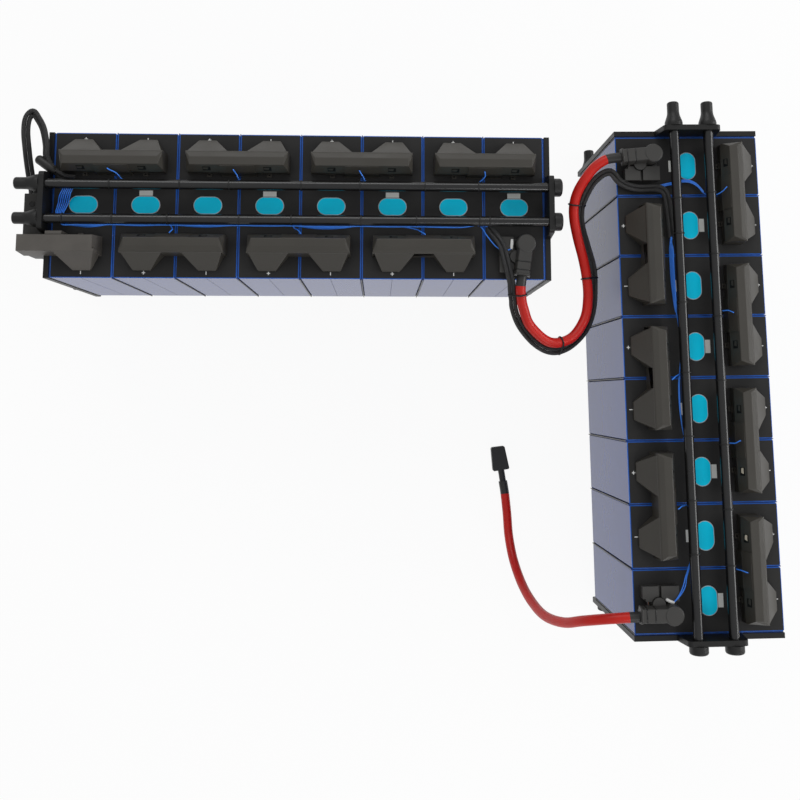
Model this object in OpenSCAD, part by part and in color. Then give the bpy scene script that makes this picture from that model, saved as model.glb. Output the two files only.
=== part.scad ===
// Lithium iron phosphate battery: two clamped packs of eight prismatic cells set in an L,
// joined by a power link and a sensing harness, with one output cable.
// +X runs along the long pack, +Y across it, +Z up. The origin is under the middle, on the floor.

/* [Cells] */
// Thickness of one cell along its pack, in mm
cell_thick = 71.7; // [60:0.1:80]
// Width of one cell across its pack, in mm
cell_width = 174; // [150:1:200]
// Height of the cell body, in mm
cell_height = 205; // [150:1:230]
// Thickness of the insulating board between two cells, in mm
board_thick = 1.3; // [1:0.1:3]
// Distance of a terminal from the middle line of its pack, in mm
terminal_offset = 61; // [60:0.5:65]
// Length of the oval vent cover along the pack, in mm
vent_length = 33; // [20:1:45]
// Width of the oval vent cover, in mm
vent_width = 20.4; // [12:0.2:28]

/* [Clamp] */
// Thickness of an end plate, in mm
plate_thick = 6.2; // [4:0.1:10]
// Thickness of the pad between an end plate and a cell, in mm
pad_thick = 1.8; // [1:0.1:4]
// Height of the cell bottoms above the floor, in mm
stand_off = 17; // [17:0.5:30]
// Height of the raised tab of an end plate above the cell tops, in mm
tab_height = 31; // [28:0.5:40]
// Half the width of the raised tab, in mm
tab_half = 34.5; // [32:0.5:45]
// Distance of the upper rods from the middle line, in mm
rod_offset = 20.5; // [18:0.5:24]
// Height of the upper rods above the cell tops, in mm
rod_rise = 22.5; // [20:0.5:26]
// Distance of the lower rods from the middle line, in mm
low_rod_offset = 72; // [60:0.5:76]
// Outside diameter of the sleeve on a rod, in mm
sleeve_d = 11.6; // [9:0.1:12]
// Diameter of a tie rod, in mm
rod_d = 6; // [5:0.5:8]

/* [Busbar covers] */
// Length of a busbar cover at its foot, in mm
cover_length = 121; // [110:1:125]
// Height of the cover's flat ridge above the cell tops, in mm
cover_height = 29; // [24:0.5:32]
// Wall of a cover, in mm
cover_wall = 2; // [1.5:0.1:3]

/* [Cables] */
// Outside diameter of the power link, in mm
link_d = 12; // [9:0.5:13]
// Outside diameter of the output cable, in mm
output_d = 12; // [9:0.5:13]
// Outside diameter of the sensing harness, in mm
harness_d = 8; // [6:0.5:9]
// Outside diameter of the harness loop at the end of the long pack, in mm
loop_d = 9.4; // [6:0.2:10]

/* [Second pack] */
// How far the second pack stands out of square, in degrees
second_turn = 0.85; // [-2:0.05:3]
// Distance of the second pack's middle line from the first cell face, in mm
second_x = 758; // [740:1:800]
// Distance of the second pack's first cell face from the first pack's middle line, in mm
second_y = 89; // [60:1:120]

/* [Hidden] */
$fn = 48;
pitch = cell_thick + board_thick;
stack = 8 * pitch - board_thick;
top = stand_off + cell_height;
sheet = 0.8;
deck = top + sheet;
plate_in = pad_thick;
plate_out = pad_thick + plate_thick;
half_w = cell_width / 2;
sleeve_r = sleeve_d / 2;
rod_z = top + rod_rise;
low_z = stand_off - sleeve_r;
cap_r = 10.6;
cap_tip_r = 5.4;
cap_len = 29.5;
head_r = 10.8;
head_len = 10;
pad_h = 2.5;
bar_t = 3;
wall_in = terminal_offset - 22.6;
crest_in = terminal_offset - 16;
crest_out = terminal_offset - 8.5;
crease = terminal_offset - 2.5;
foot_out = terminal_offset;
lobe_out = terminal_offset + 17.5;
half_foot = cover_length / 2;
panel_half = 20.6;
shoulder = min(tab_half + 3.5, wall_in - 0.6);
boot_s = terminal_offset - 14.2;
boot_shift = 11;
boot_z = 16;
boot_end = 38;
lug_x = 557.3;
lug_y = -340.5;
turn_sin = sin(second_turn);
turn_cos = cos(second_turn);
far_x = second_x + (stack + plate_out) * turn_sin + (half_w + 0.5) * turn_cos;
far_y = second_y + (plate_out + cap_len) * turn_cos + (low_rod_offset + cap_tip_r) * turn_sin;
near_y = second_y - (stack + plate_out + head_len) * turn_cos
         - (low_rod_offset + head_r - 2.5) * turn_sin;
frame_x = (plate_out + cap_len - far_x) / 2;
frame_y = -(far_y + near_y) / 2;
film = [0.20, 0.26, 0.62];
plastic = [0.27, 0.26, 0.24];
dark = [0.10, 0.10, 0.10];
steel = [0.70, 0.71, 0.73];
copper = [0.80, 0.45, 0.25];
cyan = [0.10, 0.62, 0.80];
red = [0.75, 0.12, 0.08];

// Every piece is drawn in a pack's own frame: +X along the pack from its nut end,
// +Y across it, with the face of the first cell at X = 0 and the floor at Z = 0.
module pack_a() {
  translate([frame_x, frame_y, 0])
    children();
}
module pack_b() {
  translate([frame_x + second_x, frame_y + second_y, 0])
    rotate([0, 0, -90 + second_turn])
      children();
}
module both_packs() {
  pack_a()
    children();
  pack_b()
    children();
}
// side = 1 is the +Y side of the pack, side = -1 the other
module on_side(side) {
  if (side > 0)
    children();
  else
    mirror([0, 1, 0])
      children();
}

// Cells: a wrapped aluminium can, two terminal pads and their welded studs
module rounded_box(length, width, height, r) {
  linear_extrude(height) {
    translate([0, r])
      square([length, width - 2 * r]);
    translate([r, 0])
      square([length - 2 * r, width]);
    for (x = [r, length - r])
      for (y = [r, width - r])
        translate([x, y])
          circle(r);
  }
}
module cell(n) {
  translate([(n - 1) * pitch, -half_w, stand_off])
    rounded_box(cell_thick, cell_width, cell_height, 2);
  for (s = [-1, 1])
    translate([(n - 1) * pitch + cell_thick / 2, s * terminal_offset, top]) {
      translate([-11, -10, -0.5])
        cube([22, 20, pad_h + 0.5]);
      translate([0, 0, -0.5])
        cylinder(d = 6, h = 13.5);
    }
}

// Thin black sheet glued on each cell top, open over the vent and the terminals
module stadium(length, width) {
  translate([-(length - width) / 2, -width / 2])
    square([length - width, width]);
  for (s = [-1, 1])
    translate([s * (length - width) / 2, 0])
      circle(d = width);
}
module top_sheets() {
  for (n = [0:7])
    translate([n * pitch + cell_thick / 2, 0, top])
      linear_extrude(sheet)
        difference() {
          translate([-cell_thick / 2 + 1.1, -half_w + 1.1])
            square([cell_thick - 2.2, cell_width - 2.2]);
          stadium(vent_length + 0.6, vent_width + 0.6);
          for (s = [-1, 1])
            translate([-11.3, s * terminal_offset - 10.3])
              square([22.6, 20.6]);
        }
}
module vents() {
  for (n = [0:7])
    translate([n * pitch + cell_thick / 2, 0, top])
      linear_extrude(1.8)
        stadium(vent_length, vent_width);
}

// Insulating boards between the cells, and a pad at each end plate
module boards() {
  for (n = [1:7])
    translate([n * pitch - board_thick, -half_w - 1, stand_off])
      cube([board_thick, cell_width + 2, cell_height - 1.5]);
  for (x = [-pad_thick, stack])
    translate([x, -half_w + 0.5, stand_off])
      cube([pad_thick, cell_width - 1, cell_height - 1.5]);
}

// End plate: it stands on its lower edge and carries all four tie rods
module plate_outline() {
  r = 6;
  difference() {
    union() {
      translate([-half_w - 0.5, 4])
        square([cell_width + 1, top - 4]);
      translate([-half_w + 3.5, 0])
        square([cell_width - 7, top]);
      for (s = [-1, 1])
        translate([s * (half_w - 3.5), 4])
          circle(4);
      polygon([[-shoulder, top - 1], [shoulder, top - 1], [shoulder, top],
               [tab_half, top + tab_height - r], [-tab_half, top + tab_height - r],
               [-shoulder, top]]);
      translate([r - tab_half, top + tab_height - r - 1])
        square([2 * tab_half - 2 * r, r + 1]);
      for (s = [-1, 1])
        translate([s * (tab_half - r), top + tab_height - r])
          circle(r);
    }
    for (s = [-1, 1]) {
      translate([s * rod_offset, rod_z])
        circle(d = rod_d + 0.6);
      translate([s * low_rod_offset, low_z])
        circle(d = rod_d + 0.6);
    }
  }
}
module upright(x, thick) {
  translate([x, 0, 0])
    rotate([90, 0, 90])
      linear_extrude(thick)
        children();
}
module plates() {
  upright(-plate_out, plate_thick)
    plate_outline();
  upright(stack + plate_in, plate_thick)
    plate_outline();
}

// Places children, drawn along +X from a plate's outer face, at all four rods of one end
module at_rods(x, out) {
  for (s = [-1, 1]) {
    translate([x, s * rod_offset, rod_z])
      rotate([0, out * 90, 0])
        children();
    translate([x, s * low_rod_offset, low_z])
      rotate([0, out * 90, 0])
        children();
  }
}
module rods() {
  at_rods(-plate_out - 14, 1)
    cylinder(d = rod_d, h = stack + 2 * plate_out + 14);
}
module sleeves() {
  at_rods(-plate_in, 1)
    difference() {
      cylinder(d = sleeve_d, h = stack + 2 * plate_in);
      translate([0, 0, -1])
        cylinder(d = rod_d + 0.4, h = stack + 10);
    }
}
module nut_cap() {
  rotate_extrude()
    difference() {
      polygon([[0, 0], [cap_r, 0], [cap_r, 3.5], [10.2, 5.5], [9.2, 8.5], [8.1, 11.5], [7.3, 14.5],
               [7, 18], [7, cap_len - 2], [6.5, cap_len - 0.7], [cap_tip_r, cap_len],
               [0, cap_len]]);
      polygon([[-1, -1], [6.4, -1], [6.4, 7], [3.4, 9], [3.4, 15], [-1, 15]]);
    }
}
module head_cap() {
  rotate_extrude()
    difference() {
      polygon([[0, 0], [head_r, 0], [head_r, head_len - 2.5], [head_r - 0.8, head_len - 0.8],
               [head_r - 2.5, head_len], [0, head_len]]);
      polygon([[-1, -1], [6.4, -1], [6.4, 4.5], [-1, 4.5]]);
    }
}
module rod_nut() {
  difference() {
    union() {
      cylinder(d = 12, h = 1);
      translate([0, 0, 1])
        cylinder(d = 11.5, h = 5, $fn = 6);
    }
    translate([0, 0, -1])
      cylinder(d = rod_d + 0.1, h = 10);
  }
}
module rod_head() {
  cylinder(d = 11.5, h = 4, $fn = 6);
}
module rod_ends() {
  at_rods(-plate_out, -1)
    rod_nut();
  at_rods(stack + plate_out, 1)
    rod_head();
}
// Cable tie: a thin ring round a sleeve with its small lock underneath
module rod_tie(x, y) {
  translate([x, y, rod_z]) {
    rotate([0, 90, 0])
      difference() {
        cylinder(r = sleeve_r + 0.7, h = 1.7);
        translate([0, 0, -1])
          cylinder(r = sleeve_r, h = 4);
      }
    translate([-0.6, -2, -sleeve_r - 2.4])
      cube([3, 4, 2.4]);
  }
}

// Busbar cover: an open shell with a hipped ridge and two sloping lobes over the terminals.
// Drawn with +Y outward from the pack's middle line and Z = 0 on the cell top sheet.
// w is the wall left out, 0 for the outside and the wall's thickness for the hollow.
module along(length) {
  translate([length / 2, 0, 0])
    rotate([90, 0, -90])
      linear_extrude(length)
        mirror([1, 0])
          children();
}
module across(from, to) {
  translate([0, to, 0])
    rotate([90, 0, 0])
      linear_extrude(to - from)
        children();
}
module ridge_shape(w) {
  h = cover_height - w;
  foot = w ? -1 : 0;
  end = half_foot - w;
  intersection() {
    along(2 * half_foot + 4)
      polygon([[wall_in + w, foot], [wall_in + 0.4 + w, h - 2.4], [crest_in, h], [crest_out, h],
               [crease - w / 2, h - 1.6], [foot_out - 0.8 - w, h - 3], [foot_out - w, foot]]);
    across(wall_in - 5, foot_out + 5)
      polygon([[-end, -2], [0.7 - end, h - 2], [6 - end, h], [end - 6, h], [end - 0.7, h - 2],
               [end, -2]]);
  }
}
// The end cover's ridge: flat on top, it starts at left and leans in at its other end
module end_ridge_shape(left, w) {
  h = cover_height - w;
  foot = w ? -1 : 0;
  intersection() {
    along(2 * half_foot + 4)
      polygon([[wall_in + w, foot], [wall_in + 2 + w, h], [crease + 1 - w, h],
               [foot_out + 0.5 - w, foot]]);
    across(wall_in - 5, foot_out + 5)
      polygon([[left + w, -2], [left + 0.7 + w, h], [half_foot - 4 - w, h], [half_foot - w, -2]]);
  }
}
// Slope of a lobe from the ridge's outer edge, at from and h, down to its own outer edge
module lobe_shape(side, w, from, h) {
  intersection() {
    along(140)
      polygon([[from - 3 - w, w ? -1 : 0], [from - 3 - w, h], [from - w, h],
               [lobe_out - w, 3.5 - w], [lobe_out - w, w ? -1 : 0]]);
    translate([0, 0, -2])
      linear_extrude(h + 4)
        polygon([[side * (11.2 + w), crease - 5], [side * (11.2 + w), crease + 0.9],
                 [side * (26.2 + w), lobe_out - 1.9], [side * (28.6 + w), lobe_out + 0.8],
                 [side * (47.2 - w), lobe_out + 0.8], [side * (49.4 - w), lobe_out - 1.9],
                 [side * (58.8 - w), crease - 1], [side * (59.2 - w), crease - 5]]);
  }
}
module windows(side) {
  translate([side * 35.5 - 4.75, wall_in - 2, 8])
    cube([9.5, 6, 8]);
}
module latch(side) {
  translate([side * 35.5, 0, 0])
    difference() {
      translate([-2.8, wall_in - 3.9, 0])
        cube([5.6, 5.2, 2.4]);
      translate([-1.4, wall_in - 2.6, -1])
        cube([2.8, 2, 5]);
    }
}
// Raised panel on the side toward the rods
module cover_panel(left, right) {
  translate([(left + right) / 2, 0, 0])
    along(right - left)
      polygon([[wall_in - 3.1, 0], [wall_in - 3.1, cover_height - 4], [wall_in - 2.1, cover_height - 2.8],
               [wall_in + 1.5, cover_height - 2.4], [wall_in + 1.5, 0]]);
}
module busbar_cover() {
  difference() {
    union() {
      ridge_shape(0);
      lobe_shape(-1, 0, crease, cover_height - 1.6);
      lobe_shape(1, 0, crease, cover_height - 1.6);
      cover_panel(-panel_half, panel_half);
    }
    ridge_shape(cover_wall);
    lobe_shape(-1, cover_wall, crease, cover_height - 1.6 - cover_wall);
    lobe_shape(1, cover_wall, crease, cover_height - 1.6 - cover_wall);
    windows(-1);
    windows(1);
  }
  latch(-1);
  latch(1);
}
// Half a cover whose ridge runs on past the end plate, over the control box
module half_cover() {
  difference() {
    union() {
      end_ridge_shape(-30, 0);
      lobe_shape(1, 0, crease + 1, cover_height);
      cover_panel(2, panel_half);
    }
    end_ridge_shape(-30, cover_wall);
    lobe_shape(1, cover_wall, crease + 1, cover_height - cover_wall);
    windows(1);
  }
  latch(1);
}
// n counts the joint between cell n and cell n + 1
module cover_at(n, side) {
  on_side(side)
    translate([n * pitch - board_thick / 2, 0, deck])
      children();
}

// Busbars under the covers, with a small hump between the two cells
module busbar() {
  for (s = [-1, 1])
    translate([s * pitch / 2, terminal_offset, pad_h])
      linear_extrude(bar_t)
        difference() {
          translate([-12, -11])
            square([24, 21.5]);
          circle(d = 6.6);
        }
  across(45, 57.5)
    polygon([[-25, pad_h], [-9, pad_h], [-5, pad_h + 6], [5, pad_h + 6], [9, pad_h], [25, pad_h],
             [25, pad_h + bar_t], [7.5, pad_h + bar_t], [3.5, pad_h + 6 + bar_t],
             [-3.5, pad_h + 6 + bar_t], [-7.5, pad_h + bar_t], [-25, pad_h + bar_t]]);
}
// Strap from the first cell over the end plate to the control box
module end_strap() {
  translate([cell_thick / 2, 0, pad_h])
    linear_extrude(bar_t)
      difference() {
        union() {
          translate([-12, terminal_offset - 11])
            square([24, 21.5]);
          translate([-61, 45])
            square([50, 12.5]);
        }
        translate([0, terminal_offset])
          circle(d = 6.6);
        translate([-55, 51])
          circle(d = 6.6);
      }
}
// Plate that carries a cable boot's stud beside the cell terminal
module boot_plate(out) {
  translate([0, 0, pad_h]) {
    linear_extrude(bar_t)
      difference() {
        union() {
          translate([-11, 41])
            square([22, 29]);
          translate([out > 0 ? 8 : -20, 39])
            square([12, 18]);
        }
        translate([0, terminal_offset])
          circle(d = 6.6);
      }
    translate([out * boot_shift, boot_s, 1])
      cylinder(d = 8, h = 13);
  }
}
module nut(bore, af, height) {
  difference() {
    union() {
      cylinder(d = af * 1.1, h = 1.2);
      rotate([0, 0, 30])
        cylinder(d = af * 1.1547, h = height, $fn = 6);
    }
    translate([0, 0, -1])
      cylinder(d = bore, h = 10);
  }
}

// Right-angle boot over a cable lug, drawn round the boot stud with the tube toward +Y
module lug_shape() {
  translate([0, 0, pad_h + bar_t]) {
    difference() {
      union() {
        cylinder(d = 18, h = 3);
        translate([-3.6, 0, 0])
          cube([7.2, 15, 3]);
      }
      translate([0, 0, -1])
        cylinder(d = 8.4, h = 6);
    }
    across(11, 15)
      polygon([[-3.6, 1], [3.6, 1], [3.6, 8], [-3.6, 8]]);
  }
  translate([0, 14, boot_z])
    rotate([-90, 0, 0])
      cylinder(r = 5.2, h = boot_end - 14);
}
// Section of the boot's neck, drawn in by inset at the grooves
module neck(from, to, inset) {
  across(from, to)
    polygon([[-5, 10.2], [5, 10.2], [5.6, 13.4], [9.8 - inset, 14.6], [7.9 - inset, 24.4],
             [7 - inset, 25.4 - inset], [inset - 7, 25.4 - inset], [inset - 7.9, 24.4],
             [inset - 9.8, 14.6], [-5.6, 13.4]]);
}
module boot() {
  difference() {
    union() {
      rotate_extrude()
        polygon([[0, pad_h + bar_t], [11.8, pad_h + bar_t], [11.3, 23.6], [10.7, 25.2], [9.6, 26],
                 [0, 26]]);
      neck(0, boot_end, 1.2);
      neck(2, 20.8, 0);
      neck(22.2, 30.6, 0);
      neck(32, boot_end, 0);
    }
    lug_shape();
    translate([0, 0, -1])
      cylinder(d = 15.6, h = 19);
  }
}
module boot_nut() {
  translate([0, 0, pad_h + bar_t + 3])
    nut(8.1, 13, 6.5);
}
// A boot's place: cell number, which way it leans, and its own small turn
module boot_place(n, lean, turn) {
  translate([(n - 0.5) * pitch - board_thick / 2 + lean * boot_shift, -boot_s, top])
    rotate([0, 0, 180 + turn])
      children();
}
module boot_set() {
  pack_a()
    boot_place(8, 1, -8)
      children();
  pack_b()
    boot_place(1, -1, 5)
      children();
  pack_b()
    boot_place(8, 1, -0.5)
      children();
}
module block_place(n) {
  translate([(n - 0.5) * pitch - board_thick / 2, 0, deck])
    mirror([0, 1, 0])
      children();
}
// Split insulating block over the nut beside a boot
module boot_block(lean) {
  mirror([lean > 0 ? 0 : 1, 0, 0])
    difference() {
      union() {
        translate([-19.5, 37, 0])
          cube([17, 20.5, 12]);
        translate([-19.5, 60.5, 0])
          cube([17, 15, 12]);
        translate([-19.5, 75, 0])
          cube([14, 4, 12]);
        translate([-19.5, 56, 0])
          cube([17, 6, 7]);
      }
      translate([-12.5, 38.8, -1])
        cube([20, 34, 5.8]);
      translate([0, terminal_offset, -1])
        cylinder(d = 16, h = 15);
    }
}

// Control box on the outside of the first end plate, and the plug under it
module box() {
  difference() {
    union() {
      translate([-plate_out - 25.5, -58.5, top - 47])
        rotate([0, 0, 0])
          cube([25.5, 71.5, 47]);
      translate([-plate_out - 19.5, -56, top])
        cube([18, 11, 2.5]);
    }
    translate([-plate_out - 25.5 + 14.7, -51, top - 10])
      cylinder(d = 6, h = 20);
  }
}
module plug() {
  translate([-plate_out - 22, -57, top - 82])
    cube([16, 34, 35]);
}

// Cords: one polyhedron each, swept along a smooth curve through its route points
function sum_at(p, i) = i < 0 ? 2 * p[0] - p[1] :
  i > len(p) - 1 ? 2 * p[len(p) - 1] - p[len(p) - 2] : p[i];
function blend(a, b, c, d, t) =
  0.5 * (2 * b + (c - a) * t + (2 * a - 5 * b + 4 * c - d) * t * t + (3 * b - a - 3 * c + d) * t * t * t);
function curve(p, n) = [for (k = [0:n]) let(s = k * (len(p) - 1) / n, i = min(floor(s), len(p) - 2))
  blend(sum_at(p, i - 1), p[i], p[i + 1], sum_at(p, i + 2), s - i)];
function unit(v) = v / norm(v);
function heading(c, i) = i == 0 ? unit(c[1] - c[0]) :
  i == len(c) - 1 ? unit(c[i] - c[i - 1]) : unit(c[i + 1] - c[i - 1]);
module cord(route, n, sides, r, first, last) {
  c = curve(route, n);
  pts = [for (i = [0:n]) let(
           t = i == 0 ? unit(first) : i == n ? unit(last) : heading(c, i),
           s = unit(cross(t, [0, 0, 1])),
           w = cross(s, t))
         for (k = [0:sides - 1])
           c[i] + r * (cos(360 * (k + 0.5) / sides) * s + sin(360 * (k + 0.5) / sides) * w)];
  walls = [for (i = [0:n - 1]) for (k = [0:sides - 1]) let(
             a = i * sides + k,
             b = i * sides + (k + 1) % sides)
           for (f = [[a, b, b + sides], [a, b + sides, a + sides]])
             f];
  polyhedron(concat(pts), concat([[for (k = [sides - 1:-1:0]) k]], walls,
             [[for (k = [0:sides - 1]) n * sides + k]]));
}
// A route moved at both ends to start and stop where they should
function ends_at(p, a, b) = [for (i = [0:len(p) - 1]) let(t = i / (len(p) - 1))
  p[i] + (1 - t) * (a - p[0]) + t * (b - p[len(p) - 1])];
// Middle of a boot's end face, in its own pack and then in the first pack's frame
function boot_tip(n, lean, turn) =
  [(n - 0.5) * pitch - board_thick / 2 + lean * boot_shift + (boot_end + 0.05) * sin(turn),
   -boot_s - (boot_end + 0.05) * cos(turn), boot_z];
function from_b(p) = [second_x + p[0] * turn_sin + p[1] * turn_cos,
                      second_y - p[0] * turn_cos + p[1] * turn_sin, p[2]];
// Route points in mm, in the first pack's frame with Z up from the cell tops
link_route = [[553.3, -83.6, 16], [551.4, -97.5, 16], [552.5, -110, 13], [555.5, -122, 9],
  [564.5, -142, 2], [589, -160.5, -8], [616, -155, -16], [634, -132, -22], [639.5, -106, -25],
  [638.5, -82, -25], [634, -58.5, -22], [626.5, -33, -16], [621, -11, -8], [620.5, 7, -2],
  [626, 24.5, 5], [640, 45, 12], [652, 54.5, 15.5], [660.7, 57.9, 16], [674.6, 59.6, 16]];
output_route = [[682.3, -471.8, 16], [668.3, -472.6, 16], [645, -475.5, 9], [623, -482, -12],
  [606.5, -491, -45], [592, -493, -88], [582.5, -485, -130], [574.5, -468.5, -165],
  [567.5, -442.5, -192], [563.8, -413.5, -209], [562.5, -385, -215.5], [559.8, -357, -216.3], [557.3, -340.5, -216.3]];
harness_route = [[514.5, -26, 14], [530, -49.5, 18], [535.5, -78.5, 18], [541, -103, 10],
  [542.5, -121, 3], [552, -143, -4], [571.5, -163.5, -13], [593, -172.5, -20], [615.5, -166, -27],
  [637, -146, -33], [648, -120.5, -36], [651, -92, -37], [650, -67.5, -35], [641, -39, -27],
  [633, -16, -18], [631.5, 1, -10], [638, 19.5, -3], [647.5, 34, 2], [662, 42, 6], [675, 31, 7],
  [695, 24, 7], [721.5, 24, 7], [730.5, 14.5, 7], [733, -9, 8], [735, -37, 8]];
loop_route = [[-28, 13, -14], [-30, 26, -15], [-32, 37, -12], [-32.3, 50, -5], [-32.6, 64, 1],
  [-32.6, 85, 9], [-29.5, 100, 14], [-22.5, 106.5, 16], [-17, 100, 15], [-11, 88, 13],
  [-7.5, 70, 11], [-7, 57, 10], [-3, 47, 10], [5.5, 36.8, 9], [15, 31.4, 9], [28, 29.2, 9]];
module cord_in_pack() {
  pack_a()
    translate([0, 0, top])
      children();
}

// Nodes
module cell_a1() { color(film) pack_a() cell(1); }
module cell_a2() { color(film) pack_a() cell(2); }
module cell_a3() { color(film) pack_a() cell(3); }
module cell_a4() { color(film) pack_a() cell(4); }
module cell_a5() { color(film) pack_a() cell(5); }
module cell_a6() { color(film) pack_a() cell(6); }
module cell_a7() { color(film) pack_a() cell(7); }
module cell_a8() { color(film) pack_a() cell(8); }
module cell_b1() { color(film) pack_b() cell(1); }
module cell_b2() { color(film) pack_b() cell(2); }
module cell_b3() { color(film) pack_b() cell(3); }
module cell_b4() { color(film) pack_b() cell(4); }
module cell_b5() { color(film) pack_b() cell(5); }
module cell_b6() { color(film) pack_b() cell(6); }
module cell_b7() { color(film) pack_b() cell(7); }
module cell_b8() { color(film) pack_b() cell(8); }
module cover_a_back_1() { color(plastic) pack_a() cover_at(1, 1) busbar_cover(); }
module cover_a_back_2() { color(plastic) pack_a() cover_at(3, 1) busbar_cover(); }
module cover_a_back_3() { color(plastic) pack_a() cover_at(5, 1) busbar_cover(); }
module cover_a_back_4() { color(plastic) pack_a() cover_at(7, 1) busbar_cover(); }
module cover_a_front_1() { color(plastic) pack_a() cover_at(2, -1) busbar_cover(); }
module cover_a_front_2() { color(plastic) pack_a() cover_at(4, -1) busbar_cover(); }
module cover_a_front_3() { color(plastic) pack_a() cover_at(6, -1) busbar_cover(); }
module end_cover() { color(plastic) pack_a() cover_at(0, -1) half_cover(); }
module cover_b_inner_1() { color(plastic) pack_b() cover_at(2, -1) busbar_cover(); }
module cover_b_inner_2() { color(plastic) pack_b() cover_at(4, -1) busbar_cover(); }
module cover_b_inner_3() { color(plastic) pack_b() cover_at(6, -1) busbar_cover(); }
module cover_b_outer_1() { color(plastic) pack_b() cover_at(1, 1) busbar_cover(); }
module cover_b_outer_2() { color(plastic) pack_b() cover_at(3, 1) busbar_cover(); }
module cover_b_outer_3() { color(plastic) pack_b() cover_at(5, 1) busbar_cover(); }
module cover_b_outer_4() { color(plastic) pack_b() cover_at(7, 1) busbar_cover(); }
module plates_a() { color(plastic) pack_a() plates(); }
module plates_b() { color(plastic) pack_b() plates(); }
module boards_a() { color(dark) pack_a() boards(); }
module boards_b() { color(dark) pack_b() boards(); }
module top_sheets_a() { color(dark) pack_a() top_sheets(); }
module top_sheets_b() { color(dark) pack_b() top_sheets(); }
module vents_a() { color(cyan) pack_a() vents(); }
module vents_b() { color(cyan) pack_b() vents(); }
module rods_a() { color(steel) pack_a() rods(); }
module rods_b() { color(steel) pack_b() rods(); }
module sleeves_a() { color(dark) pack_a() sleeves(); }
module sleeves_b() { color(dark) pack_b() sleeves(); }
module nut_caps() { color(dark) both_packs() at_rods(-plate_out, -1) nut_cap(); }
module head_caps() { color(dark) both_packs() at_rods(stack + plate_out, 1) head_cap(); }
module rod_nuts() { color(steel) both_packs() rod_ends(); }
module pack_busbars(joints, side) {
  for (n = joints)
    on_side(side)
      translate([n * pitch - board_thick / 2, 0, top])
        busbar();
}
module boot_plate_at(n, lean) {
  translate([(n - 0.5) * pitch - board_thick / 2, 0, top])
    mirror([0, 1, 0])
      boot_plate(lean);
}
module busbars_a() {
  color(copper)
    pack_a() {
      pack_busbars([1, 3, 5, 7], 1);
      pack_busbars([2, 4, 6], -1);
      translate([0, 0, top])
        mirror([0, 1, 0])
          end_strap();
      boot_plate_at(8, 1);
    }
}
module busbars_b() {
  color(copper)
    pack_b() {
      pack_busbars([1, 3, 5, 7], 1);
      pack_busbars([2, 4, 6], -1);
      boot_plate_at(1, -1);
      boot_plate_at(8, 1);
    }
}
module terminal_nuts() {
  color(steel) {
    both_packs()
      for (n = [1:8])
        for (s = [-1, 1])
          translate([(n - 0.5) * pitch - board_thick / 2, s * terminal_offset, top + pad_h + bar_t])
            nut(6.1, 10, 4.4);
    boot_set()
      boot_nut();
  }
}
module boots() { color(dark) boot_set() boot(); }
module boot_blocks() {
  color(plastic) {
    pack_a()
      block_place(8)
        boot_block(1);
    pack_b()
      block_place(1)
        boot_block(-1);
    pack_b()
      block_place(8)
        boot_block(1);
  }
}
module cable_lugs() { color(copper) boot_set() lug_shape(); }
module control_box() { color(plastic) pack_a() box(); }
module box_plug() { color(plastic) pack_a() plug(); }
module link_cable() {
  color(red)
    cord_in_pack()
      cord(ends_at(link_route, boot_tip(8, 1, -8), from_b(boot_tip(1, -1, 5))), 20, 12, link_d / 2,
           [sin(-8), -cos(-8), 0], [cos(5 + second_turn), sin(5 + second_turn), 0]);
}
module output_cable() {
  color(red)
    cord_in_pack()
      cord(ends_at(output_route, from_b(boot_tip(8, 1, -0.5)), [lug_x, lug_y, output_d / 2 - top]),
           18, 12, output_d / 2,
           [-cos(second_turn - 0.5), -sin(second_turn - 0.5), 0], [-0.152, 0.988, 0]);
}
module output_lug_cover() {
  color(dark)
    cord_in_pack()
      translate([lug_x, lug_y, -top])
        rotate([0, 0, 98.7]) {
          translate([0, 0, output_d / 2])
            rotate([0, 90, 0])
              cylinder(r = 4.4, h = 16);
          linear_extrude(10)
            polygon([[15, -10], [16.5, -11.3], [45.5, -9.6], [47, -8], [47.5, 7.5], [46, 9.3],
                     [17, 11.4], [15, 10]]);
        }
}
module harness_loom() {
  color(dark)
    cord_in_pack()
      cord(ends_at(harness_route, harness_route[0], [second_x - 23, second_y - 126, 8]),
           30, 8, harness_d / 2, [15.5, -23.5, 0], [2, -28, 0]);
}
module loop_cable() {
  color(dark)
    cord_in_pack()
      cord(loop_route, 22, 8, loop_d / 2, [0, 1, 0], [12, -3, 0]);
}
// places are counted in cells from the nut end
module ties_at(places, y) {
  for (x = places)
    rod_tie(x * pitch, y);
}
module rod_ties() {
  color(dark) {
    pack_a() {
      ties_at([0.97, 2.08, 2.86, 4.01, 4.95, 6, 6.86], rod_offset);
      ties_at([0.25, 1.03, 1.9, 3.03, 3.86, 4.97, 5.86, 6.88, 7.04], -rod_offset);
    }
    pack_b() {
      ties_at([1.08, 1.66, 2.78, 3.9, 4.9, 5.89, 6.71], -rod_offset);
      ties_at([0.99, 2, 3.01, 4.03, 5.04, 6.04, 6.89], rod_offset);
    }
  }
}

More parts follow.
